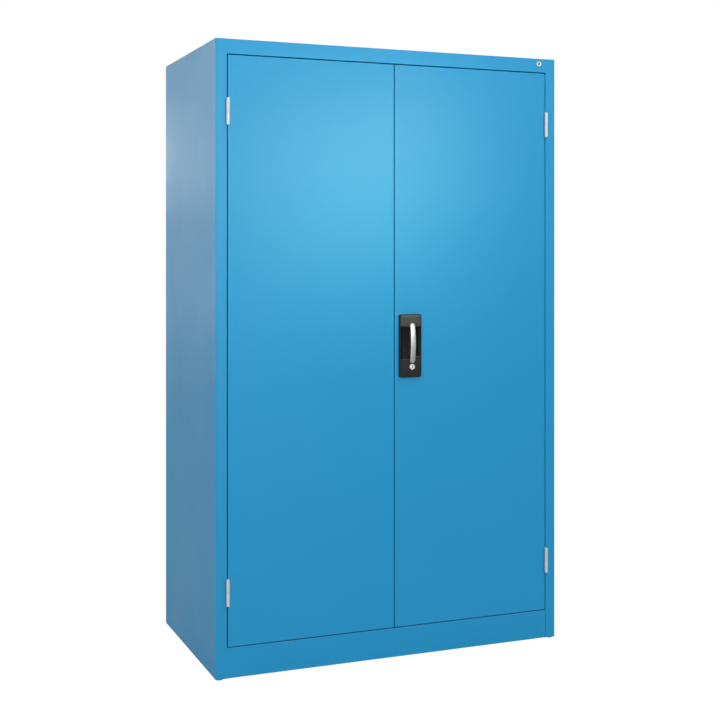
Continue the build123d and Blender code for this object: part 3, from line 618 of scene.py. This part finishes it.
class CABINET_OT_finishes(Operator):
    """Makes every finish and puts it on the frame's nodes by their material slot"""

    bl_idname = "cabinet.finishes"
    bl_label = "Put on the finishes"

    def execute(self, context):
        finishes.update(make_materials(context.scene.cabinet_colours))
        for subpart in frame["record"]["subparts"]:
            obj = frame["nodes"][subpart["node"]]
            material = finishes[subpart["material_slot"]]
            if not obj.material_slots:
                obj.data.materials.append(material)
            for slot in obj.material_slots:
                slot.material = material
        return {"FINISHED"}


class CABINET_OT_hinges(Operator):
    """Lift-off hinges: turned knuckles with rounded ends, leaves and a brass washer in each joint"""

    bl_idname = "cabinet.hinges"
    bl_label = "Make the hinges"

    def execute(self, context):
        sizes = context.scene.cabinet_sizes
        washers = []
        for side in SIDES:
            for level in LEVELS:
                hinge = f"{side}_{level}_hinge"
                pin_low, pin_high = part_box(f"{hinge}_pin")
                axis = (pin_low + pin_high) / 2
                radius = axis.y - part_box(f"{hinge}_door_half")[0].y
                joint = []
                for half, body in (("frame", "cabinet_body"), ("door", f"{side}_door")):
                    node_name = f"{hinge}_{half}_half"
                    low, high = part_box(node_name)
                    joint.append(high.z if half == "frame" else low.z)
                    piece(
                        node_name.replace("half", "knuckle"),
                        [
                            knuckle(axis, radius, low.z, high.z, half, sizes.knuckle_edge),
                            leaf(axis, low, high, side, half, sizes.leaf_edge),
                        ],
                        "hinge_steel", body, (node_name,),
                    )
                washer, thickness = 0.9 * radius, joint[1] - joint[0]
                profile = disc_profile(washer, thickness, edge=0.3 * thickness)
                washers.append(turned(profile, (axis.x, axis.y, joint[0]), UP))
        piece("brass_washers", washers, "brass", "cabinet_body")
        return {"FINISHED"}


def knuckle(axis, radius, bottom, top, half, edge):
    """Turned profile, faced back and rounded at its free end, with a small rounding at the joint.

    The door half's free end is its upper one and the frame half's the lower one. Each rounding
    follows the rule of the rounded outline.
    """
    height, faced, joint_edge = top - bottom, 1.6 * MM, 0.3 * edge
    free, joint = (height - faced, 0) if half == "door" else (faced, height)
    middle = (free + joint) / 2
    free_end = rounded([(0, free), (radius, free), (radius, middle)], edge, steps=8)
    joint_end = rounded([(radius, middle), (radius, joint), (0, joint)], joint_edge, steps=4)
    profile = np.concatenate([free_end, joint_end[1:]])
    return turned(profile, (axis.x, axis.y, bottom), UP, columns=48)


def leaf(axis, low, high, side, half, edge):
    """Thin plate with rounded edges that runs from inside the knuckle back through the door gap.

    One of its faces stands half the door gap from the hinge's axis, to the left for the left
    frame half and the right door half, and the plate starts three tenths of the knuckle's reach
    behind the axis.
    """
    to_the_left = (side == "left") == (half == "frame")
    half_gap, thickness, share_of_reach = 1.5 * MM, 1.2 * MM, 0.3
    start = axis.y + (high.x - axis.x) * share_of_reach
    if to_the_left:
        x_low, x_high = axis.x - half_gap, axis.x - half_gap + thickness
    else:
        x_low, x_high = axis.x + half_gap - thickness, axis.x + half_gap
    return slab((x_low, start, low.z), (x_high, high.y, high.z), edge)


class CABINET_OT_housing(Operator):
    """Moulded handle housing with rounded edges, a crowned pillow and thin lips under its recess,
    both in a lighter plastic that paints sheen and highlight lines
    """

    bl_idname = "cabinet.housing"
    bl_label = "Make the handle housing"

    def execute(self, context):
        sizes = context.scene.cabinet_sizes
        softened(
            "moulded_housing", "handle_housing", sizes.housing_edge,
            "housing_plastic", "right_door",
        )
        low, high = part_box("handle_housing")
        margin, block_height = 2.4 * MM, 40.0 * MM
        pad = crowned_pad(
            (low.x + margin, high.z - block_height + margin), (high.x - margin, high.z - margin),
            low.y, sizes.pad_crown,
        )
        # the pillow's lighter plastic is painted sheen on the housing's upper block
        piece("housing_sheen", [pad], "housing_sheen", "right_door")

        # the lips lie along the recess's lower edge, one to each side of the bow; their lighter
        # plastic is a painted highlight line
        bow_low, bow_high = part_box("bow_handle")
        recess_bottom, recess_step, inset, lip = 58.5 * MM, 8.0 * MM, 2.6 * MM, 0.9 * MM
        spans = (
            (low.x + inset, bow_low.x, low.z + recess_bottom),
            (bow_high.x, high.x - inset, low.z + recess_bottom + recess_step),
        )
        back, down = 0.25 * lip, 0.3 * lip
        lips = [
            turned(
                rod_profile(right - left, lip), (left, low.y + back, z - down), RIGHT, columns=20
            )
            for left, right, z in spans
        ]
        piece("recess_highlight_lips", lips, "housing_sheen", "right_door")
        return {"FINISHED"}


def rod_profile(reach, radius):
    """Profile of a rod with ball ends.

    At an angle from 0 to a right angle the near end has the radius times its sine, at a height of
    the radius times one minus its cosine. The far end is the same, turned round.
    """
    turn = quarter_turn(5)
    near = np.stack([radius * np.sin(turn), radius * (1 - np.cos(turn))], -1)
    far = np.stack([near[:, 0], reach - near[:, 1]], -1)[::-1]
    return np.concatenate([near, far])


def crowned_pad(low, high, face, crown):
    """Pillow on a front face: a superellipse outline, rings that shrink to the middle, and a bulge.

    At a share s of the way out from the middle the bulge is the crown times one minus s to the
    fourth. The back is flat, a little way inside the face.
    """
    (x_low, z_low), (x_high, z_high) = low, high
    half_x, half_z = (x_high - x_low) / 2, (z_high - z_low) / 2
    sunk = 0.3 * MM
    across, up = superellipse(columns=72, exponent=9)
    shrink = np.linspace(1, 0, 13)
    share = np.concatenate([[0, 1], shrink])[:, None]
    outward = np.concatenate([[-sunk, -sunk], crown * (1 - shrink**4)])[:, None]
    x = (x_low + x_high) / 2 + share * (half_x * across)
    z = (z_low + z_high) / 2 + share * (half_z * up)
    return np.stack([x, face - outward + 0 * x, z], -1)


class CABINET_OT_bow(Operator):
    """Bow pull: a crowned bar that arches out of the housing between two rounded ends"""

    bl_idname = "cabinet.bow"
    bl_label = "Make the bow"

    def execute(self, context):
        sizes = context.scene.cabinet_sizes
        bow = bow_surface(sizes.bow_end)
        piece("bow_pull", [bow], "bow_metal", "right_door", ("bow_handle",))
        return {"FINISHED"}


def bow_surface(end):
    """Superellipse section carried up the bow.

    At a height z, with d the distance to the nearer end: the half width is that of a slot with
    round ends, the front follows a circular arc through both ends and the crown of the bow, the
    back follows the seat near the feet and an inner arc between them, and the front draws back
    over the last stretch like a quarter circle.
    """
    low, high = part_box("bow_handle")
    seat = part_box("handle_housing")[0].y
    centre_x, half_width = (low.x + high.x) / 2, (high.x - low.x) / 2
    middle, half_height = (low.z + high.z) / 2, (high.z - low.z) / 2
    end_thickness, middle_thickness, foot = 4.0 * MM, 7.5 * MM, 11.0 * MM

    height = half_height * np.sin(np.linspace(-math.pi / 2, math.pi / 2, 97))
    distance = half_height - np.abs(height)
    width = half_width * round_end(distance, half_width)
    front = end_thickness + arc(height, half_height, seat - low.y - end_thickness)
    inner_span = half_height - foot
    inner = arc(height, inner_span, seat - low.y - middle_thickness)
    back = np.where(np.abs(height) < inner_span, np.maximum(inner, 0), 0)
    front = back + (front - back) * round_end(distance, end)

    across, depth = superellipse(columns=48, exponent=3.4)
    x = centre_x + width[:, None] * across
    y = seat - ((front + back) / 2)[:, None] - ((front - back) / 2)[:, None] * depth
    z = middle + height[:, None] + 0 * across
    return np.stack([x, y, z], -1)


def arc(height, half_span, sagitta):
    """Rise of a circular arc over its chord, at a height from the chord's middle."""
    radius = (half_span**2 + sagitta**2) / (2 * sagitta)
    return np.sqrt(np.maximum(radius**2 - height**2, 0)) - (radius - sagitta)


def round_end(distance, radius):
    """Quarter circle from 0 at an end to 1 at a radius from it, and 1 past that."""
    return np.sqrt(np.clip(1 - (1 - np.minimum(distance / radius, 1)) ** 2, 0, 1))


class CABINET_OT_lock(Operator):
    """Lock: a barrel with a rounded ring, a plug with key slot and square drive, and a dark block in
    the slot painted as its shade
    """

    bl_idname = "cabinet.lock"
    bl_label = "Make the lock"

    def execute(self, context):
        low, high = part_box("lock_barrel")
        plug_low, plug_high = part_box("lock_plug")
        centre, face = (low + high) / 2, plug_low.y
        plug_radius, clearance = (plug_high.x - plug_low.x) / 2, 0.1 * MM
        outline = barrel_profile(
            bore=plug_radius + clearance, ring=(high.x - low.x) / 2, depth=high.y - low.y,
            edge=context.scene.cabinet_sizes.flange_edge,
        )
        piece(
            "lock_barrel_ring", [turned(outline, (centre.x, high.y, centre.z), -BACK, columns=64)],
            "bright_chrome", "right_door", ("lock_barrel",),
        )

        journal_length, journal_radius, half_drive = 2.2 * MM, 2.5 * MM, 3.0 * MM
        edge, overlap, plug_overhang = 0.3 * MM, 0.5 * MM, 1.5 * MM
        drive_end, plug_end = plug_high.y - journal_length, high.y + plug_overhang
        journal = disc_profile(journal_radius, journal_length, edge)
        piece(
            "lock_plug_core",
            [
                slotted_plug((centre.x, face, centre.z), plug_radius, plug_end - face),
                slab(
                    (centre.x - half_drive, plug_end - overlap, centre.z - half_drive),
                    (centre.x + half_drive, drive_end, centre.z + half_drive), edge,
                ),
                turned(journal, (centre.x, drive_end, centre.z), BACK, columns=32),
            ],
            "bright_chrome", "lock_cylinder", ("lock_plug",),
        )

        # a dark block behind the slot's mouth paints the shade inside the key slot
        shade_block_front, shade_block_back, shade_block_edge = 0.7 * MM, 6.0 * MM, 0.2 * MM
        half_width, half_height = KEY_SLOT_HALF_WIDTH, KEY_SLOT_HALF_HEIGHT
        shade_block = slab(
            (centre.x - half_width, face + shade_block_front, centre.z - half_height),
            (centre.x + half_width, face + shade_block_back, centre.z + half_height), shade_block_edge,
        )
        piece("keyway_shade_block", [shade_block], "keyway_shade", "lock_cylinder")
        return {"FINISHED"}


def barrel_profile(bore, ring, depth, edge):
    """Profile of the barrel: a tube whose front stretch is a wider ring, with rounded edges."""
    step, flange = 0.7 * MM, 2.0 * MM
    barrel, shoulder = ring - step, depth - flange
    corners = [
        (bore, 0), (barrel, 0), (barrel, shoulder), (ring, shoulder), (ring, depth),
        (bore, depth), (bore, 0),
    ]
    return rounded(corners, edge)


def slotted_plug(face_centre, radius, depth):
    """Plug as one closed surface round its key slot.

    Each row is a ring seen from the front. It starts as a point on the slot's floor, is the slot's
    outline on the floor and at the mouth, then a circle that goes out to the rim, back along the
    side and in to a point on the rear. The slot's outline is a rectangle in polar form: at an angle
    it reaches as far as its nearer pair of sides lets it. The rim is a quarter circle.
    """
    mouth_edge, rim = 0.25 * MM, 0.45 * MM
    across, up = np.cos(full_turn(96)), np.sin(full_turn(96))
    slot = 1 / np.maximum(np.abs(across) / KEY_SLOT_HALF_WIDTH, np.abs(up) / KEY_SLOT_HALF_HEIGHT)
    point, rim_foot, side = 0 * slot, radius - rim + 0 * slot, radius + 0 * slot
    rows = [(point, KEY_SLOT_DEPTH), (slot, KEY_SLOT_DEPTH), (slot, mouth_edge)]
    rows += [(slot + mouth_edge, 0), (rim_foot, 0)]
    rows += [
        (radius - rim * (1 - math.sin(turn)) + 0 * slot, rim * (1 - math.cos(turn)))
        for turn in quarter_turn(4)[1:]
    ]
    rows += [(side, depth), (point, depth)]
    reach = np.array([row for row, _ in rows])
    inward = np.array([level for _, level in rows])[:, None]
    x, y, z = face_centre
    return np.stack([x + reach * across, y + inward + 0 * across, z + reach * up], -1)


class CABINET_OT_cap(Operator):
    """Round cap on the fascia: a bright ring round a dull centre"""

    bl_idname = "cabinet.cap"
    bl_label = "Make the fascia cap"

    def execute(self, context):
        low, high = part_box("fascia_cap")
        centre = (low + high) / 2
        foot = (centre.x, high.y, centre.z)
        radius, depth = (high.x - low.x) / 2, high.y - low.y
        hole, crown_inside, crown_outside = radius * 0.56, radius * 0.68, radius * 0.88
        outer_shoulder, inner_shoulder, ring_edge = depth * 0.5, depth * 0.6, 0.4 * MM
        ring = rounded(
            [
                (hole, 0), (radius, 0), (radius, outer_shoulder), (crown_outside, depth),
                (crown_inside, depth), (hole, inner_shoulder), (hole, 0),
            ],
            ring_edge,
        )
        piece(
            "cap_ring", [turned(ring, foot, -BACK, columns=48)],
            "bright_chrome", "cabinet_body", ("fascia_cap",),
        )
        disc, disc_edge = radius * 0.58, 0.2 * MM
        disc_shoulder, disc_middle = depth * 0.62, depth * 0.78
        insert = rounded([(0, 0), (disc, 0), (disc, disc_shoulder), (0, disc_middle)], disc_edge)
        piece("cap_insert", [turned(insert, foot, -BACK)], "cap_centre", "cabinet_body")
        return {"FINISHED"}


class CABINET_OT_glides(Operator):
    """Moulded glides under the four corners, with rounded edges"""

    bl_idname = "cabinet.glides"
    bl_label = "Make the glides"

    def execute(self, context):
        low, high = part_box("foot_pads")
        radius, edge, thickness = 12.0 * MM, 1.0 * MM, high.z - low.z
        profile = disc_profile(radius, thickness, edge)
        spots = [
            (x, y, low.z)
            for x in (low.x + radius, high.x - radius)
            for y in (low.y + radius, high.y - radius)
        ]
        piece(
            "corner_glides", [turned(profile, spot, UP) for spot in spots],
            "pad_plastic", "cabinet_body", ("foot_pads",),
        )
        return {"FINISHED"}


class CABINET_OT_buffers(Operator):
    """Rubber buffers on the door stops, with rounded edges"""

    bl_idname = "cabinet.buffers"
    bl_label = "Make the door buffers"

    def execute(self, context):
        low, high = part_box("door_buffers")
        width, height, edge = 12.0 * MM, 8.0 * MM, 0.55 * MM
        outer, inner = (high.x - low.x - width) / 2, 14.0 * MM
        blocks = [
            slab(
                (x - width / 2, low.y, z - height / 2), (x + width / 2, high.y, z + height / 2), edge
            )
            for x in (-outer, -inner, inner, outer)
            for z in (low.z + height / 2, high.z - height / 2)
        ]
        piece("rubber_buffers", blocks, "buffer_rubber", "cabinet_body", ("door_buffers",))
        return {"FINISHED"}


class CABINET_OT_bolts(Operator):
    """Slide bolts and their brackets with eased edges, and rivets through the brackets"""

    bl_idname = "cabinet.bolts"
    bl_label = "Make the slide bolts"

    def execute(self, context):
        sizes = context.scene.cabinet_sizes
        bar_edge, guide_edge = sizes.bar_edge, sizes.bar_edge * 0.5
        head = domed_head(radius=sizes.rivet, height=sizes.rivet * 0.45)
        rivet_levels = (0.22, 0.78)  # as shares of the bracket's height
        rivets = []
        for end in ("top", "bottom"):
            bolt, bracket = f"left_{end}_bolt", f"left_{end}_bolt_bracket"
            softened(f"{end}_bolt_bar", bolt, bar_edge, "zinc_steel", f"{end}_bolt")
            softened(f"{end}_bolt_guide", bracket, guide_edge, "zinc_steel", "left_door")
            low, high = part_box(bracket)
            for share in rivet_levels:
                z = low.z + share * (high.z - low.z)
                foot = ((low.x + high.x) / 2, low.y + DOOR_SHEET, z)
                rivets.append(turned(head, foot, BACK, columns=28))
        piece("bracket_rivets", rivets, "zinc_steel", "left_door")
        return {"FINISHED"}


def domed_head(radius, height):
    """Profile of a domed head: a quarter of an ellipse over a rim of a quarter of the height."""
    rim, turn = 0.25, quarter_turn(8)
    dome = np.stack([radius * np.cos(turn), height * (rim + (1 - rim) * np.sin(turn))], -1)
    return np.concatenate([[(0, 0), (radius, 0)], dome])


class CABINET_OT_screws(Operator):
    """Pan-head screws that hold the rod guides, each with a cross recess"""

    bl_idname = "cabinet.screws"
    bl_label = "Make the guide screws"

    def execute(self, context):
        sizes = context.scene.cabinet_sizes
        block_height, off_middle = 18.0 * MM, 7.4 * MM
        heads = []
        for node_name in ("upper_rod_guides", "lower_rod_guides"):
            low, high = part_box(node_name)
            for z in (low.z + block_height / 2, high.z - block_height / 2):
                for side in (-1, 1):
                    x = (low.x + high.x) / 2 + side * off_middle
                    heads.append(crossed_head((x, high.y, z), sizes.screw))
        piece("guide_screws", heads, "zinc_steel", "right_door")
        return {"FINISHED"}


def crossed_head(foot, radius):
    """Screw head that faces backwards, with a cross sunk into its crown.

    Radius rings carry a height. The crown is flat out to a share of the radius and falls to the
    rim like a quarter of an ellipse. Inside it the height drops wherever the point lies within
    half a bar's width of either axis.
    """
    height, half_bar, sink = radius * 0.62, radius * 0.17, radius * 0.42
    crown_share, cross_share = 0.6, 0.62
    ring = np.linspace(0, 1, 13)[:, None]
    angle = full_turn(48)[None]
    across, up = radius * ring * np.cos(angle), radius * ring * np.sin(angle)
    fall = (np.clip(ring, crown_share, 1) - crown_share) / (1 - crown_share)
    crown = height * np.sqrt(np.clip(1 - fall**2, 0, 1))
    in_cross = (np.minimum(np.abs(across), np.abs(up)) < half_bar) & (ring < cross_share)
    x, y, z = foot
    top = np.stack([x + across, y + crown - sink * in_cross + 0 * across, z + up], -1)[::-1]
    base = np.stack([x + 0 * across[:1], y + 0 * across[:1], z + 0 * up[:1]], -1)
    return np.concatenate([base, top])


class CABINET_OT_spot_welds(Operator):
    """Spot-weld marks down both flanges of the door stiffeners"""

    bl_idname = "cabinet.spot_welds"
    bl_label = "Make the spot welds"

    def execute(self, context):
        sizes = context.scene.cabinet_sizes
        mark = weld_mark(sizes.weld)
        to_flange_middle, end_margin = 6.0 * MM, 24.0 * MM
        for side in SIDES:
            low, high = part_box(f"{side}_door_stiffener")
            count = int((high.z - low.z) / sizes.weld_pitch)
            marks = [
                turned(mark, (x, low.y + DOOR_SHEET, z), BACK, columns=20)
                for x in (low.x + to_flange_middle, high.x - to_flange_middle)
                for z in np.linspace(low.z + end_margin, high.z - end_margin, count)
            ]
            piece(f"{side}_door_spot_welds", marks, "cabinet_paint", f"{side}_door")
        return {"FINISHED"}


def weld_mark(radius):
    """Profile of a spot weld: a shallow dished disc inside a low rim.

    At a share s of the radius its height is the rim's times 0.35 plus 0.65 s cubed.
    """
    rim, middle = 0.14 * MM, 0.35
    share = np.linspace(1, 0, 7)
    dish = np.stack([radius * share, rim * (middle + (1 - middle) * share**3)], -1)
    return np.concatenate([[(0, 0), (radius, 0)], dish])


class CABINET_OT_seams(Operator):
    """Ground welds at the left ends of fascia and plinth, and a dark strip painted as shade at the
    plinth's right end
    """

    bl_idname = "cabinet.seams"
    bl_label = "Fill the front's seams"

    def execute(self, context):
        fascia_low, fascia_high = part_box("top_panel")
        plinth_low, plinth_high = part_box("plinth_panel")
        post_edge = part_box("left_side_panel")[0].x + POST_WIDTH
        corner = ground_weld(
            post_edge - BODY_SHEET, post_edge + BODY_SEAM, fascia_low.y,
            fascia_high.z - FASCIA_HEIGHT, fascia_high.z, BODY_SHEET,
        )
        piece("corner_weld", [corner], "cabinet_paint", "cabinet_body")

        rail_height, feather = 93.5 * MM, 9.0 * MM
        foot_gap, depth, proud = 0.5 * MM, 1.0 * MM, 0.03 * MM
        foot, face = plinth_low.z + foot_gap, plinth_low.y - proud
        weld = feathered_weld(
            (post_edge - BODY_SHEET, fascia_low.y), (plinth_low.x + feather, face),
            foot, rail_height, depth,
        )
        piece("plinth_weld", [weld], "cabinet_paint", "cabinet_body")

        # a dark strip in the gap at the plinth's right end: painted shade of that gap
        width, over_post, edge = 1.0 * MM, 0.2 * MM, 0.02 * MM
        shade_strip = slab(
            (plinth_high.x - width, face, foot),
            (plinth_high.x + over_post, plinth_low.y + depth, rail_height), edge,
        )
        piece("plinth_seam", [shade_strip], "painted_seam_shade", "cabinet_body")
        return {"FINISHED"}


def feathered_weld(near, far, bottom, top, sunk):
    """Filled weld between two faces, carried up from bottom to top.

    Seen from above it is a straight ramp from the nearer face to the farther one, sunk behind.
    """
    return prism([far, near, (near[0], near[1] + sunk), (far[0], far[1] + sunk)], bottom, top)


def ground_weld(x_low, x_high, face, bottom, top, bend):
    """Weld ground flush between post and fascia: a strip carried from x_low to x_high.

    Seen from the side it runs up the face and over the fascia's bend, a quarter circle.
    """
    turn = quarter_turn(6)
    bent = np.stack([face + bend * (1 - np.cos(turn)), top - bend * (1 - np.sin(turn))], -1)
    outline = np.concatenate([[(face + bend, bottom), (face, bottom)], bent])
    return np.roll(prism(outline, x_low, x_high), 1, axis=-1)


# ---------------------------------------------------------------- stage


# The two pool lamps have a narrow spread and a greenish tint, and lay a soft round of light on the
# doors, above their middle. The others are wide and white.
WHITE, POOL_TINT = (1.0, 1.0, 1.0), (0.82, 1.0, 0.655)
DOORS, LEFT_SIDE, RIGHT_SIDE = (0.0, -0.31, 1.4), (-0.59, 0.0, 1.3), (0.59, 0.0, 1.0)
# name, place, aim, width and height in metres, spread in degrees, power in watts, colour
LAMPS = (
    ("pool_wide", (0.3, -3.0, 1.7), (-0.12, -0.31, 1.49), (0.6, 0.5), 50, 0.455, POOL_TINT),
    ("pool_narrow", (0.75, -2.6, 2.1), (-0.1, -0.31, 1.47), (0.6, 0.5), 20, 0.42, POOL_TINT),
    ("front_high", (1.8, -4.0, 2.2), DOORS, (0.8, 0.6), 180, 15.0, WHITE),
    ("front_fill", (-1.6, -5.0, 1.8), (0.0, 0.0, 1.0), (2.5, 2.0), 180, 90.0, WHITE),
    ("overhead", (0.0, -2.0, 3.8), (0.0, -0.3, 1.0), (2.5, 1.5), 180, 39.0, WHITE),
    ("left_fill", (-3.5, -0.5, 1.6), (-0.3, 0.0, 1.0), (1.5, 2.0), 180, 13.0, WHITE),
    ("right_fill", (3.5, 0.9, 1.7), RIGHT_SIDE, (1.5, 2.0), 180, 30.0, WHITE),
    ("back_near", (-0.9, 3.8, 1.9), LEFT_SIDE, (0.8, 0.6), 180, 8.4, WHITE),
    ("back_low", (-2.6, 3.8, 1.2), LEFT_SIDE, (0.8, 0.6), 180, 9.0, WHITE),
    ("back_high", (-2.6, 3.8, 2.6), LEFT_SIDE, (0.8, 0.6), 180, 13.0, WHITE),
)


class CABINET_OT_stage(Operator):
    """Pale floor, soft studio light and the camera"""

    bl_idname = "cabinet.stage"
    bl_label = "Set the stage"

    def execute(self, context):
        stage = context.scene.cabinet_stage
        make_floor(stage.floor_gloss_front, stage.floor_gloss_back)
        make_world(stage.surround, stage.surround_gloss)
        for name, place, aim, size, spread, power, tint in LAMPS:
            area_light(name, place, aim, size, math.radians(spread), power * stage.lamp_level, tint)
        make_camera(stage)
        context.scene.view_settings.view_transform = "Standard"
        return {"FINISHED"}


def area_light(name, place, aim, size, spread, power, tint):
    """Rectangular soft light at a place, turned to its aim."""
    lamp = bpy.data.lights.new(name, "AREA")
    lamp.shape = "RECTANGLE"
    lamp.size, lamp.size_y = size
    lamp.spread = spread
    lamp.energy = power
    lamp.color = tint
    obj = bpy.data.objects.new(name, lamp)
    obj.location = place
    obj.rotation_euler = (Vector(aim) - Vector(place)).to_track_quat("-Z", "Y").to_euler()
    bpy.context.scene.collection.objects.link(obj)


def emission(tree, level):
    """Plain white glow at a level, which is a number or another node's output."""
    glow = shader_node(tree, "ShaderNodeEmission", {"Color": (1, 1, 1, 1), "Strength": level})
    return glow.outputs[0]


def make_floor(gloss_front, gloss_back):
    """Large pale floor: white to the camera with a faint shadow, and a grey in mirrored views.

    The grey runs from one level in front of the cabinet to the other behind it.
    """
    reach = 30.0
    corners = [(-reach, -reach, 0), (reach, -reach, 0), (reach, reach, 0), (-reach, reach, 0)]
    mesh = bpy.data.meshes.new("floor")
    mesh.from_pydata(corners, [], [(0, 1, 2, 3)])
    material = bpy.data.materials.new("pale_floor")
    material.use_nodes = True
    tree = material.node_tree
    tree.nodes.clear()
    tone = (0.62, 0.62, 0.62, 1)
    pale = shader_node(tree, "ShaderNodeBsdfDiffuse", {"Color": tone})
    path = tree.nodes.new("ShaderNodeLightPath")
    # the camera sees mostly glow, whose level makes the far floor as white as the world behind it
    glow_share, glow_level = 0.8, 1.23
    share = maths(tree, "MULTIPLY", path.outputs["Is Camera Ray"], glow_share)
    to_camera = shader_node(
        tree, "ShaderNodeMixShader", {0: share, 1: pale.outputs[0], 2: emission(tree, glow_level)}
    )
    # the grey changes between these two distances along Y
    front_y, back_y = -1.5, 0.5
    parts = shader_node(tree, "ShaderNodeSeparateXYZ", {0: place_on_object(tree)})
    level = shader_node(
        tree, "ShaderNodeMapRange",
        {
            "Value": parts.outputs["Y"], "From Min": front_y, "From Max": back_y,
            "To Min": gloss_front, "To Max": gloss_back,
        },
        clamp=True,
    )
    mirrored = emission(tree, level.outputs[0])
    to_gloss = shader_node(
        tree, "ShaderNodeMixShader",
        {0: path.outputs["Is Glossy Ray"], 1: to_camera.outputs[0], 2: mirrored},
    )
    shader_node(tree, "ShaderNodeOutputMaterial", {"Surface": to_gloss.outputs[0]})
    mesh.materials.append(material)
    floor = bpy.data.objects.new("floor", mesh)
    bpy.context.scene.collection.objects.link(floor)


def make_world(level, gloss_level):
    """White to the camera, and even lower levels to matt and to glossy surfaces."""
    world = bpy.data.worlds.new("studio")
    world.use_nodes = True
    bpy.context.scene.world = world
    tree = world.node_tree
    background = tree.nodes["Background"]
    background.inputs["Color"].default_value = (1, 1, 1, 1)
    path = tree.nodes.new("ShaderNodeLightPath")
    unseen = shader_node(
        tree, "ShaderNodeMapRange",
        {"Value": path.outputs["Is Glossy Ray"], "To Min": level, "To Max": gloss_level},
    )
    strength = shader_node(
        tree, "ShaderNodeMapRange",
        {"Value": path.outputs["Is Camera Ray"], "To Min": unseen.outputs[0], "To Max": 1.0},
    )
    tree.links.new(strength.outputs[0], background.inputs["Strength"])


def make_camera(stage):
    """Level camera with a vertical shift, so that uprights stay upright."""
    camera = bpy.data.cameras.new("camera")
    camera.sensor_width = 36.0
    camera.lens = stage.lens
    camera.shift_y = stage.rise
    obj = bpy.data.objects.new("camera", camera)
    obj.location = stage.camera_place
    obj.rotation_euler = (math.pi / 2, 0, -stage.camera_yaw)
    bpy.context.scene.collection.objects.link(obj)
    bpy.context.scene.camera = obj


# ---------------------------------------------------------------- sidebar and run


OPERATORS = (
    CABINET_OT_finishes,
    CABINET_OT_hinges,
    CABINET_OT_housing,
    CABINET_OT_bow,
    CABINET_OT_lock,
    CABINET_OT_cap,
    CABINET_OT_glides,
    CABINET_OT_buffers,
    CABINET_OT_bolts,
    CABINET_OT_screws,
    CABINET_OT_spot_welds,
    CABINET_OT_seams,
    CABINET_OT_stage,
)


class CABINET_PT_sidebar(Panel):
    """Sizes, colours and steps of the cabinet"""

    bl_label = "Tool cabinet"
    bl_space_type = "VIEW_3D"
    bl_region_type = "UI"
    bl_category = "Cabinet"

    def draw(self, context):
        layout, scene = self.layout, context.scene
        for group in (scene.cabinet_colours, scene.cabinet_sizes, scene.cabinet_stage):
            box = layout.box()
            for name in group.bl_rna.properties.keys():
                if name not in ("rna_type", "name"):
                    box.prop(group, name)
        for operator in OPERATORS:
            layout.operator(operator.bl_idname)


CLASSES = (CabinetColours, CabinetSizes, CabinetStage, *OPERATORS, CABINET_PT_sidebar)


def register():
    """Adds the classes, and the three groups of values to the scene."""
    for cls in CLASSES:
        bpy.utils.register_class(cls)
    bpy.types.Scene.cabinet_colours = PointerProperty(type=CabinetColours)
    bpy.types.Scene.cabinet_sizes = PointerProperty(type=CabinetSizes)
    bpy.types.Scene.cabinet_stage = PointerProperty(type=CabinetStage)


def unregister():
    """Takes away what register added, in the opposite order."""
    del bpy.types.Scene.cabinet_stage
    del bpy.types.Scene.cabinet_sizes
    del bpy.types.Scene.cabinet_colours
    for cls in reversed(CLASSES):
        bpy.utils.unregister_class(cls)


def main():
    """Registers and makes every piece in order."""
    register()
    for operator in OPERATORS:
        category, name = operator.bl_idname.split(".")
        if getattr(getattr(bpy.ops, category), name)() != {"FINISHED"}:
            raise RuntimeError(f"{operator.bl_label} didn't finish")


if __name__ == "__main__":
    main()
